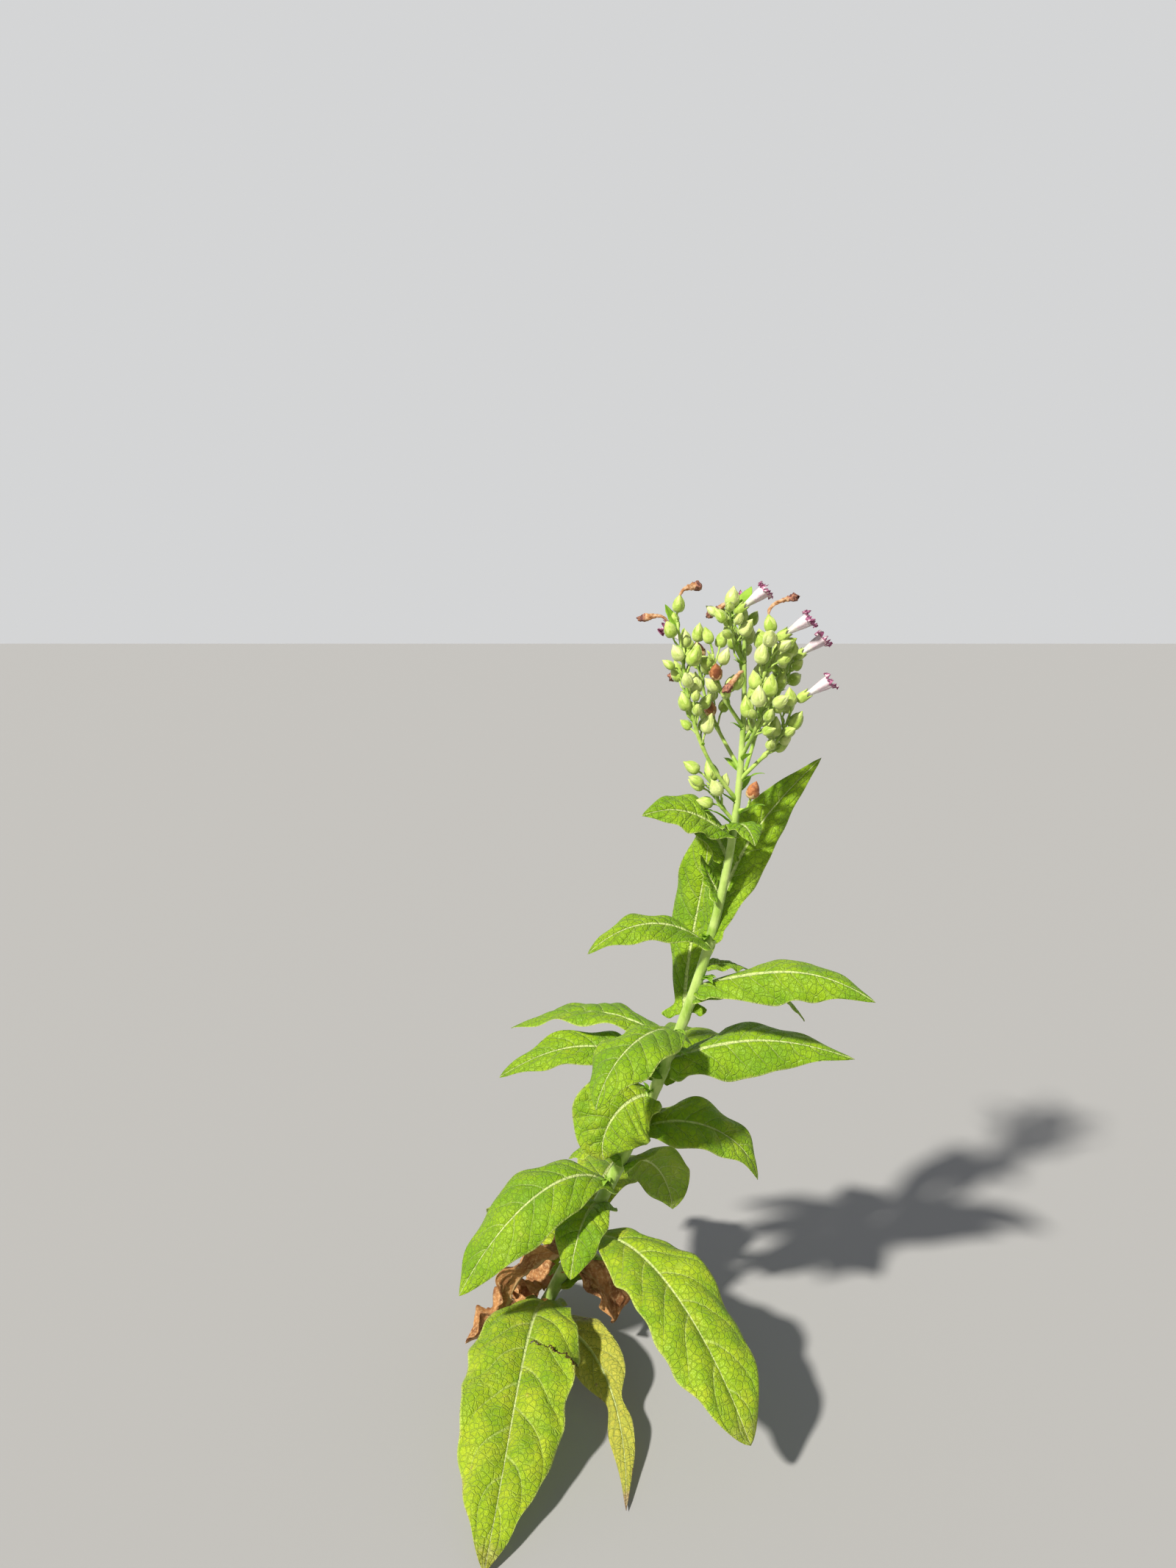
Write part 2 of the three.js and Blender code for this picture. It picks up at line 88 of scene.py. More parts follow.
class Shade(NodeWork):
    def __init__(self, name, home="materials"):
        self.owner = getattr(bpy.data, home).new(name)
        self.owner.use_nodes = True
        super().__init__(self.owner.node_tree)
        self.shader = self.tree.nodes.get("Principled BSDF") or self.tree.nodes["Background"]

    def sum(self, operation, *values):
        return self.node("ShaderNodeMath", dict(enumerate(values)), operation=operation)

    def times(self, a, b):
        return self.sum("MULTIPLY", a, b)

    def timesPlus(self, a, b, c):
        return self.sum("MULTIPLY_ADD", a, b, c)

    def ramp(self, value, low, high, first=0.0, last=1.0):
        inputs = {"Value": value, "From Min": low, "From Max": high, "To Min": first, "To Max": last}
        return self.node("ShaderNodeMapRange", inputs, interpolation_type="SMOOTHSTEP")

    def mix(self, share, first, second, blend="MIX"):
        inputs = {0: share, 6: first, 7: second}
        return self.node("ShaderNodeMix", inputs, 2, data_type="RGBA", blend_type=blend)

    # One layer of colour over another: each is its share and its name in the look.
    def layered(self, colour, look, layers):
        for share, name in layers:
            colour = self.mix(share, colour, look[name])
        return colour

    def noise(self, coords, scale, detail=3, roughness=0.55, distortion=0):
        inputs = {"Vector": coords, "Scale": scale, "Detail": detail, "Roughness": roughness}
        return self.node("ShaderNodeTexNoise", {**inputs, "Distortion": distortion})

    def objectCoords(self):
        return self.node("ShaderNodeTexCoord", output=3)

    def stretched(self, coords, scale):
        return self.node("ShaderNodeMapping", {"Vector": coords, "Scale": scale})

    def bump(self, height, strength, distance):
        inputs = {"Height": height, "Strength": strength, "Distance": distance}
        return self.node("ShaderNodeBump", inputs)

    def set(self, **values):
        for key, value in values.items():
            self.feed(self.shader.inputs[key.replace("_", " ")], value)

    # Light that comes through from the other side, as a share of what the surface gives.
    def glow(self, share, colour, normal):
        through = self.node("ShaderNodeBsdfTranslucent", {"Color": colour, "Normal": normal})
        made = self.node("ShaderNodeMixShader", {0: share, 1: self.shader.outputs[0], 2: through})
        self.feed(self.tree.nodes["Material Output"].inputs["Surface"], made)


studio = {
    "eye": (0.0965, -1.927, 1.30), "tilt": 10.7, "lens": 29.15, "sensor": 36, "farthest": 100,
    "sunFrom": (-0.62, -0.78, 0.86), "sunStrength": 6.3, "sunSoftness": 0.06, "sunColour": (1, 0.97, 0.9),
    "horizon": (0.66, 0.665, 0.67, 1), "dome": (0.19, 0.205, 0.235, 1), "domeFrom": (0.4, 0.62),
    "floor": (0.335, 0.33, 0.325, 1), "floorSize": 30,
}


def makeStudio():
    scene = bpy.context.scene
    camera = addObject("camera", bpy.data.cameras.new("camera"))
    camera.location = studio["eye"]
    camera.rotation_euler = (math.radians(90 - studio["tilt"]), 0, 0)
    camera.data.lens = studio["lens"]
    camera.data.sensor_width = studio["sensor"]
    camera.data.clip_end = studio["farthest"]
    scene.camera = camera
    scene.view_settings.view_transform = "Standard"

    sun = addObject("sun", bpy.data.lights.new("sun", "SUN"))
    sun.data.energy = studio["sunStrength"]
    sun.data.angle = studio["sunSoftness"]
    sun.data.color = studio["sunColour"]
    sun.rotation_euler = Vector(studio["sunFrom"]).to_track_quat("Z", "Y").to_euler()

    sky = Shade("sky", "worlds")
    scene.world = sky.owner
    height = sky.node("ShaderNodeSeparateXYZ", {0: sky.node("ShaderNodeTexCoord")}, output=2)
    low, high = studio["domeFrom"]
    share = sky.node("ShaderNodeMapRange", {"Value": height, "From Min": low, "From Max": high})
    sky.set(Color=sky.mix(share, studio["horizon"], studio["dome"]))

    half = studio["floorSize"] / 2
    corners = [(-half, -half, 0), (half, -half, 0), (half, half, 0), (-half, half, 0)]
    mesh = meshOf("floor", corners, [(0, 1, 2, 3)])
    paint = Shade("floor")
    paint.set(Base_Color=studio["floor"], Roughness=0.9)
    mesh.materials.append(paint.owner)
    addObject("floor", mesh)


makeStudio()
print("studio made")

# The rule that the plant grows by: its stem, and the arch of a leaf or a branch.
stem = {
    "curve": ((0, 0, 0), (245, -235, 620), (312, -300, 820), (297, -285, 1200)),
    "footRadius": 10.5, "topRadius": 2.4, "taper": 1.3, "rootFlare": 5, "flareHeight": 45,
    "rings": 420, "sides": 32, "ringGather": 1.06, "nodeSwelling": 0.9, "ridge": 0.6, "ridgeRun": 55,
    "ridgeAside": 0.75, "ridgeWidth": 0.22, "scarDepth": 1.1, "scarRim": 1.5,
}


def unit(vector):
    return vector / np.linalg.norm(vector, axis=-1, keepdims=True)


def pointAt(curve, t):
    a, b, c, d = (np.asarray(p, float) for p in curve)
    t = np.asarray(t, float)[..., None]
    s = 1 - t
    return a * s**3 + b * 3 * s * s * t + c * 3 * s * t * t + d * t**3


def tangentAt(curve, t):
    t = np.asarray(t, float)
    ahead = pointAt(curve, np.minimum(1, t + 0.0001))
    return unit(ahead - pointAt(curve, np.maximum(0, t - 0.0001)))


def outward(bearing, elevation=0):
    b, e = math.radians(bearing), math.radians(elevation)
    return np.array([math.cos(b) * math.cos(e), math.sin(b) * math.cos(e), math.sin(e)])


def stemRadius(at):
    at = np.asarray(at, float)
    height = pointAt(stem["curve"], at)[..., 2]
    flare = stem["rootFlare"] * np.maximum(0, 1 - height / stem["flareHeight"]) ** 2
    return stem["footRadius"] + (stem["topRadius"] - stem["footRadius"]) * at ** stem["taper"] + flare


# The stem's middle, the way it runs and its radius, at a share of its length.
def onStem(at):
    return pointAt(stem["curve"], at), tangentAt(stem["curve"], at), float(stemRadius(at))


def arching(start, bearing, reach, climb, rise, fall, sweep):
    tip = start + outward(bearing) * reach + np.array([0, 0, climb])
    handle = np.linalg.norm(tip - start) * 0.42
    first = start + outward(bearing + sweep, rise) * handle
    return (start, first, tip - outward(bearing - sweep, fall) * handle, tip)


# A vector that stands square to the axis, turned round it.
def turned(vector, axis, angle):
    return vector * math.cos(angle) + np.cross(axis, vector) * math.sin(angle)


# One in the middle, and soon nothing on both sides of it.
def hump(x, width=1):
    return np.exp(-((x / width) ** 2))


# A slow, smooth unevenness from a few waves that a seed sets.
def unevenness(seed, *places):
    random = np.random.default_rng(seed)
    total = 0
    for _ in range(5):
        turn = random.uniform(-1, 1, len(places))
        phase = 2 * math.pi * sum(k * p for k, p in zip(turn, places))
        total = total + np.sin(phase + random.uniform(0, 6.3))
    return total / 5


# Meshes: a shape is its points in millimetres and its faces.
def joined(shapes):
    points, faces, base = [], [], 0
    for shapePoints, shapeFaces in shapes:
        points.append(shapePoints)
        faces += [tuple(base + i for i in face) for face in shapeFaces]
        base += len(shapePoints)
    return np.vstack(points), faces


def makePiece(name, shape, materials, faceMaterials=None, flatFaces=slice(0)):
    points, faces = shape
    mesh = meshOf(name, np.asarray(points) * metre, faces, flatFaces)
    for material in materials:
        mesh.materials.append(material)
    if faceMaterials is not None:
        mesh.polygons.foreach_set("material_index", np.asarray(faceMaterials, np.int32))
    mesh.update()
    return addObject(name, mesh)


# A finished piece rides on the one body and stands for its nodes.
def finishPiece(piece, nodes):
    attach(piece, "root")
    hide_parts(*nodes)
    return piece


def anglesRound(sides):
    return np.arange(sides) * 2 * math.pi / sides


# Vectors of a line's rows, each as long as a grid says.
def spread(vectors, grid):
    return vectors[:, None] * grid[..., None]


def ringAt(side, third, angle):
    return side * np.cos(angle)[..., None] + third * np.sin(angle)[..., None]


def ringFaces(rings, sides):
    faces = []
    for ring in range(rings - 1):
        for i in range(sides):
            a, b = ring * sides + i, ring * sides + (i + 1) % sides
            faces.append((a, b, b + sides, a + sides))
    return faces


def closedTubeFaces(rings, sides):
    last = (rings - 1) * sides
    return ringFaces(rings, sides) + [tuple(range(sides - 1, -1, -1)), tuple(range(last, last + sides))]


# A tube along points, closed at both ends.
def tube(path, radii, sides):
    path = np.asarray(path, float)
    radii = np.broadcast_to(np.asarray(radii, float), (len(path),))
    along = unit(np.gradient(path, axis=0))
    across = np.array((1.0, 0, 0) if abs(along[0][0]) < 0.8 else (0, 0, 1.0))
    side = unit(across - along * (along @ across)[:, None])
    circle = ringAt(side[:, None], np.cross(along, side)[:, None], anglesRound(sides)[None])
    points = (path[:, None] + circle * radii[:, None, None]).reshape(-1, 3)
    return points, closedTubeFaces(len(path), sides)


# A closed slab between two grids of points. Cells that keep is False for are left open, with walls round.
def slab(upper, lower, keep, wrap=False):
    cols = upper.shape[1]
    count = upper.shape[0] * cols
    points = np.concatenate([upper.reshape(-1, 3), lower.reshape(-1, 3)])
    faces, walls = [], []

    def kept(j, i):
        if wrap:
            i %= keep.shape[1]
        return 0 <= j < keep.shape[0] and 0 <= i < keep.shape[1] and keep[j, i]

    for j, i in zip(*np.nonzero(keep)):
        a = j * cols + i
        b = j * cols + (i + 1) % cols
        c, d = b + cols, a + cols
        faces += [(a, b, c, d), (count + a, count + d, count + c, count + b)]
        sides = (((j - 1, i), a, b), ((j, i + 1), b, c), ((j + 1, i), c, d), ((j, i - 1), d, a))
        for neighbour, start, end in sides:
            if not kept(*neighbour):
                walls.append((start, count + start, count + end, end))
    used = np.zeros(2 * count, bool)
    used[np.asarray(faces).ravel()] = True
    place = np.cumsum(used) - 1
    order = [tuple(place[i] for i in face) for face in faces + walls]
    return (points[used], order), used, len(faces)


leafLook = {
    "green": (0.31, 0.47, 0.008, 1), "deepGreen": (0.17, 0.33, 0.004, 1), "yellow": (0.56, 0.62, 0.03, 1),
    "olive": (0.52, 0.46, 0.09, 1), "rib": (0.74, 0.82, 0.34, 1), "rim": (0.62, 0.68, 0.2, 1),
    "brown": (0.3, 0.15, 0.05, 1), "scorched": (0.1, 0.04, 0.012, 1), "straw": (0.66, 0.52, 0.26, 1),
    "pale": (0.34, 0.47, 0.09, 1), "through": (0.62, 0.86, 0.012, 1), "throughOld": (0.88, 0.84, 0.06, 1),
    "throughShare": 0.32, "cellScales": (118.0, 330.0), "veinPairs": 8, "veinLean": 0.1, "veinBow": 0.09,
    "otherHalf": 0.42,
}
# The two sides of a leaf. On the upper side, painted shade darkens the sunken network of small veins.
upperSide = {"raised": -1, "bleach": 0.0, "network": 0.09, "paintedGrooveShade": 0.22, "vein": 0.26}
underSide = {"raised": 1, "bleach": 0.42, "network": 0.26, "paintedGrooveShade": 0.0, "vein": 0.6}


# A leaf's own places: v across from -1 to 1, t along from 0 to 1 and its age in one attribute, the count
# of side veins passed in another, and metres across and along in its UV map.
def leafMaterial(name, side):
    shade, look = Shade(name), leafLook
    ramp, mix, times, timesPlus = shade.ramp, shade.mix, shade.times, shade.timesPlus
    place = shade.node("ShaderNodeAttribute", attribute_name="bladePlace", output=1)
    v, t, age = (shade.node("ShaderNodeSeparateXYZ", {0: place}, output=i) for i in range(3))
    keys = "burn", "veinCount"
    burn, veinCount = (shade.node("ShaderNodeAttribute", attribute_name=key, output=2) for key in keys)
    flat = shade.node("ShaderNodeUVMap", uv_map="bladeFlat")
    x = shade.node("ShaderNodeSeparateXYZ", {0: flat})
    coords = shade.objectCoords()
    aside = shade.sum("ABSOLUTE", v)
    slow, patches = shade.noise(coords, 15), shade.noise(coords, 38, 3, 0.5)
    mottle, fine = shade.noise(coords, 150, 4, 0.6), shade.noise(coords, 520)

    phase = timesPlus(shade.sum("GREATER_THAN", v, 0.0), look["otherHalf"], veinCount)
    apart = shade.sum("ABSOLUTE", shade.sum("SUBTRACT", shade.sum("FRACT", phase), 0.5))
    vein = ramp(shade.sum("DIVIDE", apart, ramp(aside, 0.0, 0.9, 0.04, 0.016)), 1.4, 0.3)
    vein = times(vein, ramp(aside, 0.98, 0.7))
    valley = ramp(apart, 0.16, 0.0)
    ribWidth = ramp(t, 0.0, 0.95, 0.0031, 0.0006)
    rib = ramp(shade.sum("DIVIDE", shade.sum("ABSOLUTE", x), ribWidth), 1.3, 0.6)
    bent = shade.node("ShaderNodeVectorMath", {0: coords, "Scale": 0.02}, operation="SCALE")
    bent = shade.node("ShaderNodeVectorMath", {0: flat, 1: bent}, operation="ADD")
    cells, smallCells = (
        shade.node("ShaderNodeTexVoronoi", {"Vector": bent, "Scale": scale}, feature="DISTANCE_TO_EDGE")
        for scale in look["cellScales"]
    )
    network, smallNetwork = ramp(cells, 0.1, 0.0), ramp(smallCells, 0.12, 0.0)

    old = ramp(timesPlus(age, 0.95, times(patches, 0.8)), 0.6, 1.3)
    colour = mix(ramp(slow, 0.36, 0.66), look["deepGreen"], look["green"])
    colour = mix(old, colour, look["yellow"])
    tone = ramp(mottle, 0.3, 0.7, 0.9, 1.08)
    grey = shade.node("ShaderNodeCombineXYZ", {0: tone, 1: tone, 2: tone})
    colour = mix(1.0, colour, grey, "MULTIPLY")
    layers = (
        (ramp(age, 0.86, 1.0, 0.0, 0.75), "olive"),
        (side["bleach"], "pale"),
        (times(network, side["network"]), "rib"),
        # Painted shade along the sunken vein network of the upper side.
        (times(ramp(cells, 0.3, 0.04), side["paintedGrooveShade"]), "deepGreen"),
        (times(vein, side["vein"]), "rib"),
        (times(rib, 0.9), "rib"),
        (times(ramp(aside, 0.955, 0.995), 0.6), "rim"),
    )
    colour = shade.layered(colour, look, layers)
    edge = times(ramp(aside, 0.93, 1.0), ramp(patches, 0.54, 0.66))
    edge = times(edge, ramp(age, 0.3, 0.75))
    tip = times(ramp(timesPlus(mottle, 0.06, t), 0.955, 0.995), ramp(age, 0.3, 0.8))
    spots = times(ramp(patches, 0.7, 0.74), times(age, 0.8))
    dead = shade.sum("MAXIMUM", shade.sum("MAXIMUM", edge, tip), spots)
    crisp = mix(ramp(mottle, 0.42, 0.62), look["brown"], look["straw"])
    burnt = ramp(burn, 0.35, 0.75)
    colour = mix(burnt, mix(dead, colour, crisp), look["scorched"])

    height = timesPlus(network, 0.5 * side["raised"], times(fine, 0.18))
    for relief, depth in (smallNetwork, 0.16), (valley, 0.35), (vein, 0.35), (rib, 0.5):
        height = timesPlus(relief, depth * side["raised"], height)
    normal = shade.bump(timesPlus(mottle, 0.5, height), 0.9, 0.0026)
    shade.set(Base_Color=colour, Normal=normal, Roughness=0.47, Sheen_Weight=0.05, Specular_IOR_Level=0.32)
    layers = (
        (times(shade.sum("MAXIMUM", vein, rib), 0.4), "rib"),
        (times(network, 0.2), "deepGreen"),
        (shade.sum("MAXIMUM", dead, burnt), "brown"),
    )
    through = shade.layered(mix(old, look["through"], look["throughOld"]), look, layers)
    shade.glow(look["throughShare"], through, normal)
    return shade.owner


witheredLeafLook = {
    "tan": (0.5, 0.25, 0.09, 1), "dark": (0.22, 0.09, 0.035, 1), "straw": (0.68, 0.46, 0.23, 1),
    "rib": (0.62, 0.44, 0.22, 1), "through": (0.7, 0.34, 0.09, 1), "throughShare": 0.25,
}


def witheredMaterial():
    shade, look = Shade("witheredLeaf"), witheredLeafLook
    flat = shade.node("ShaderNodeUVMap", uv_map="bladeFlat")
    x = shade.node("ShaderNodeSeparateXYZ", {0: flat})
    coords = shade.objectCoords()
    patches, grain = shade.noise(coords, 30, 5, 0.65), shade.noise(coords, 240, 4, 0.6)
    creases = shade.noise(shade.stretched(flat, (1, 0.22, 1)), 130, 4, 0.5, 0.8)
    rib = shade.ramp(shade.sum("ABSOLUTE", x), 0.0026, 0.0012)
    colour = shade.mix(shade.ramp(patches, 0.34, 0.6), look["dark"], look["tan"])
    layers = (shade.ramp(grain, 0.46, 0.72, 0.0, 0.75), "straw"), (shade.times(rib, 0.6), "rib")
    colour = shade.layered(colour, look, layers)
    normal = shade.bump(shade.timesPlus(creases, 1.4, shade.times(grain, 0.4)), 0.8, 0.0022)
    shade.set(Base_Color=colour, Normal=normal, Roughness=0.8, Specular_IOR_Level=0.25)
    shade.glow(look["throughShare"], look["through"], normal)
    return shade.owner


stemLook = {
    "green": (0.22, 0.36, 0.035, 1), "pale": (0.4, 0.52, 0.13, 1), "wood": (0.42, 0.36, 0.19, 1),
    "scar": (0.3, 0.2, 0.09, 1), "woodFrom": 0.115, "woodTo": 0.02,
}


def stemMaterial():
    shade, look = Shade("stemSkin"), stemLook
    coords = shade.objectCoords()
    height = shade.node("ShaderNodeSeparateXYZ", {0: coords}, output=2)
    streaks = shade.noise(shade.stretched(coords, (1, 1, 0.12)), 220, 4, 0.6)
    slow, specks = shade.noise(coords, 30), shade.noise(coords, 700, 2)
    wood = shade.ramp(shade.timesPlus(slow, 0.05, height), look["woodFrom"], look["woodTo"])
    colour = shade.mix(shade.ramp(slow, 0.36, 0.64), look["green"], look["pale"])
    layers = (
        (shade.ramp(streaks, 0.45, 0.7, 0.0, 0.55), "pale"),
        (wood, "wood"),
        (shade.times(wood, shade.ramp(streaks, 0.56, 0.66)), "scar"),
    )
    colour = shade.layered(colour, look, layers)
    normal = shade.bump(shade.timesPlus(streaks, 1.0, shade.times(specks, 0.5)), 0.6, 0.0009)
    shade.set(Base_Color=colour, Normal=normal, Roughness=0.55, Sheen_Weight=0.25, Specular_IOR_Level=0.4)
    return shade.owner


# A plain finish with two near colours, fine grain and a soft bump, for twigs, pods, petals and hairs.
def plainMaterial(name, dark, light, patches, roughness, grain, depth, sheen=0.0, through=None):
    shade = Shade(name)
    coords = shade.objectCoords()
    tone = shade.ramp(shade.noise(coords, patches), 0.38, 0.62)
    normal = shade.bump(shade.noise(coords, grain), 0.6, depth)
    shade.set(Base_Color=shade.mix(tone, (*dark, 1), (*light, 1)), Normal=normal, Roughness=roughness)
    shade.set(Sheen_Weight=sheen, Specular_IOR_Level=0.35)
    if through:
        shade.glow(through[0], (*through[1], 1), normal)
    return shade.owner


# Dark and light colour, size of patches, roughness, grain and its depth, sheen, and light from behind.
plainLooks = {
    "twigSkin": ((0.22, 0.36, 0.035), (0.38, 0.5, 0.1), 60, 0.55, 500, 0.0006, 0.2),
    "podSkin": ((0.32, 0.43, 0.06), (0.48, 0.57, 0.16), 70, 0.45, 420, 0.0007, 0.1),
    "calyxSkin": ((0.25, 0.37, 0.03), (0.41, 0.52, 0.1), 80, 0.6, 600, 0.0009, 0.3),
    "palePodSkin": ((0.44, 0.52, 0.14), (0.6, 0.66, 0.27), 70, 0.5, 420, 0.0007, 0.1),
    "paleCalyx": ((0.37, 0.46, 0.1), (0.53, 0.6, 0.2), 80, 0.6, 600, 0.0009, 0.3),
    "dryPodSkin": ((0.2, 0.06, 0.02), (0.44, 0.17, 0.06), 120, 0.45, 500, 0.001),
    "dryCalyxSkin": ((0.34, 0.18, 0.07), (0.6, 0.42, 0.2), 120, 0.85, 500, 0.001),
    "bractSkin": ((0.22, 0.4, 0.03), (0.36, 0.54, 0.07), 50, 0.6, 300, 0.0008, 0, (0.4, (0.55, 0.8, 0.07))),
    "petalTube": ((0.74, 0.74, 0.6), (0.9, 0.86, 0.82), 90, 0.6, 350, 0.0007, 0, (0.35, (0.9, 0.86, 0.74))),
    "petalBlush": ((0.8, 0.66, 0.7), (0.88, 0.8, 0.8), 200, 0.6, 350, 0.001, 0, (0.35, (0.9, 0.68, 0.72))),
    # Its dark purple is the lobes' own rim colour. It also lines the inside of the flower tubes as painted
    # shade in the throat.
    "petalRim": ((0.24, 0.06, 0.14), (0.55, 0.22, 0.36), 260, 0.65, 350, 0.001, 0, (0.3, (0.7, 0.22, 0.42))),
    "antherSkin": ((0.12, 0.06, 0.05), (0.3, 0.2, 0.12), 500, 0.8, 900, 0.0005),
    "driedPetal": ((0.42, 0.2, 0.08), (0.72, 0.47, 0.27), 150, 0.85, 400, 0.0014, 0, (0.3, (0.75, 0.4, 0.2))),
    "driedRim": ((0.1, 0.035, 0.03), (0.34, 0.15, 0.09), 260, 0.85, 500, 0.0014),
    "hairSkin": ((0.55, 0.62, 0.35), (0.75, 0.8, 0.55), 400, 0.5, 600, 0.0002, 0.3),
}
leafSkins = [leafMaterial("leafUpper", upperSide), leafMaterial("leafUnder", underSide)]
witheredSkin = witheredMaterial()
stemSkin = stemMaterial()
plain = {name: plainMaterial(name, *look) for name, look in plainLooks.items()}
print("materials made")

# Leaves, from the ground up: each row's first values, and after them what is unusual about the leaf.
leafKeys = "at", "bearing", "reach", "drop", "rise", "fall", "width"
usualLeaf = dict(widest=0.5, sweep=0, roll=0, fold=0, age=0.2, fine=1, auricle=1, scallop=1)
leafRows = [
    (0.015, 289, 422, 22, 26, -6, 76, dict(widest=0.36, sweep=22, roll=34, age=1, waist=(0.62, 0.55))),
    (0.04, 262.5, 500, 62, 36, -14, 160, dict(age=0.5, fine=2, scallop=2.2)),
    (0.066, 22, 160, 66, 35, -52, 74, dict(roll=10, age=0.4)),
    (0.095, 114, 310, 84, 40, -42, 132, dict(widest=0.55, age=0.55)),
    (0.122, 305, 408, 102, 42, -54, 132, dict(widest=0.62, roll=4, age=0.45)),
    (0.15, 72, 320, 92, 44, -46, 126, dict(widest=0.55, age=0.45)),
    (0.178, 246, 108, 70, 30, -84, 74, dict(age=0.3)),
    (0.205, 205, 246, 123, 46, -64, 108, dict(sweep=10, roll=-22, fold=0.2, age=0.25)),
    (0.23, 32, 104, 100, 26, -84, 92, dict(roll=-50, age=0.4)),
    (0.245, 170, 84, 10, 30, -40, 46, dict(widest=0.52, age=0.35)),
    (0.277, 350, 186, 55, 42, -80, 92, dict(widest=0.4, roll=22, age=0.35)),
    (0.307, 115, 56, 82, 45, -88, 70, dict(age=0.3)),
    (0.335, 206, 78, 84, 22, -110, 122, dict(roll=-48, age=0.4)),
    (0.352, 66, 262, 48, 46, -46, 100, dict(age=0.25)),
    (0.368, 178, 236, 8, 40, -36, 64, dict(roll=-25)),
    (0.393, 354, 264, -10, 21, -18, 88, dict(widest=0.38, roll=34, fold=0.5)),
    (0.413, 156, 262, 16, 29, -26, 76, {}),
    (0.428, 231, 187, 46, 40, -76, 98, dict(sweep=12, fold=0.2)),
    (0.455, 56, 66, -284, 48, 88, 80, dict(widest=0.58, sweep=30, auricle=2.2)),
    (0.482, 11, 170, 44, 28, -56, 74, dict(widest=0.48)),
    (0.507, 340, 246, -4, 17, -30, 70, dict(widest=0.45, roll=34, fold=0.6)),
    (0.532, 26, 80, 16, 6, -25, 40, dict(widest=0.46, age=0.1)),
    (0.565, 196, 173, -4, 44, -42, 60, dict(widest=0.45, roll=-20, fold=0.2)),
    (0.572, 26.7, 179, -242, 74, 36, 70, dict(widest=0.42, roll=52, age=0.15, scallop=2)),
    (0.635, 150, 30, -58, 60, 70, 32, dict(widest=0.44, age=0.1)),
    (0.69, 118, 136, -40, 52, -8, 48, dict(widest=0.44, age=0.1)),
    (0.725, 196, 127, -38, 38, -18, 68, dict(widest=0.45, roll=-34, age=0.1)),
    (0.74, 288, 66, 10, 30, -55, 42, dict(widest=0.42, age=0.1)),
]
witheredRows = [
    (0.026, 196, 128, 34, 5, -24, 72, dict(roll=20)),
    (0.052, 124, 84, 68, 15, -76, 66, dict(roll=-30)),
    (0.084, 356, 80, 92, 5, -84, 56, dict(widest=0.55, roll=40)),
    (0.107, 194, 112, 98, 8, -84, 60, dict(roll=30)),
]
leaves, witheredLeaves = (
    [{**usualLeaf, **dict(zip(leafKeys, row)), **row[-1]} for row in rows]
    for rows in (leafRows, witheredRows)
)
blade = {
    "claspShare": 2.5, "claspFade": 6, "tipWidth": 3, "rollStart": 0.3, "drape": 0.34, "ripples": 3,
    "rippleStep": 2.4, "rippleOffset": 1.3, "fullness": 1.9, "clearance": 1.5, "along": 112,
    "halfAcross": 16, "thickness": 0.5, "ribDepth": 4.2, "ribHalfWidth": 3.2, "quilt": 0.075,
    "ruffle": 0.1, "ruffleWave": 44, "wobble": 0.1, "wobbleWave": 60, "outline": 0.045, "outlineWave": 52,
    "collarGap": 0.5, "wingBack": 1.5, "auricle": 1.25, "waistLength": 0.085, "groove": 0.9,
    "grooveWidth": 2.4, "veinRidge": 0.6, "veinRidgeWidth": 0.12, "flapUp": 0.13, "flapDown": 0.09,
}
freshBlade = {"cup": 0.3, "ripple": 0.13, "crumple": 0, "seed": 40}
witheredBlade = {"cup": 1.1, "ripple": 0.42, "crumple": 0.2, "seed": 90}
# Torn places of a leaf: the middle along, the slope, from and to across, and the half opening along.
tears = {1: [(0.385, 0.06, 0.08, 1.05, 0.0125), (0.452, 0.012, 0.8, 1.05, 0.0065)]}


def tearsOf(index, kind):
    return tears.get(index, []) if kind is freshBlade else []


# How far a place is along a tear, and how far past its jagged line.
def tearPlace(tear, t, v):
    along, slope, start, end, _ = tear
    share = np.clip((v - start) / (end - start), 0, 1)
    jag = 0.006 * np.sin(v * 17) + 0.004 * np.sin(v * 41 + 1)
    return share, t - along - slope * share + jag


def halfWidth(leaf, t):
    before = leaf["widest"] * blade["fullness"]
    after = (1 - leaf["widest"]) * blade["fullness"]
    body = (t / leaf["widest"]) ** before * ((1 - t) / (1 - leaf["widest"])) ** after
    clasp = blade["claspShare"] * stemRadius(leaf["at"])
    tipWidth = blade["tipWidth"] * np.minimum(1, (1 - t) * 30 + 0.15)
    return (clasp * (1 - t) ** blade["claspFade"] + leaf["width"] * body + tipWidth) / 2


# Points that would be inside the stem are moved out to its skin, so that a leaf's foot clasps it.
def claspedRoundStem(points, leaf, gap):
    samples = np.clip(np.linspace(leaf["at"] - 0.09, leaf["at"] + 0.09, 91), 0, 1)
    axis, along = pointAt(stem["curve"], samples), tangentAt(stem["curve"], samples)
    flat = points.reshape(-1, 3)
    nearest = np.argmin(np.linalg.norm(flat[:, None] - axis[None], axis=2), axis=1)
    offset = flat - axis[nearest]
    offset = offset - along[nearest] * np.sum(offset * along[nearest], axis=1, keepdims=True)
    reach = np.linalg.norm(offset, axis=1, keepdims=True)
    direction = np.where(reach > 0.5, offset / np.maximum(reach, 0.5), outward(leaf["bearing"]))
    wanted = (stemRadius(samples)[nearest] + gap.reshape(-1))[:, None]
    return (flat + direction * np.maximum(0, wanted - reach)).reshape(points.shape)


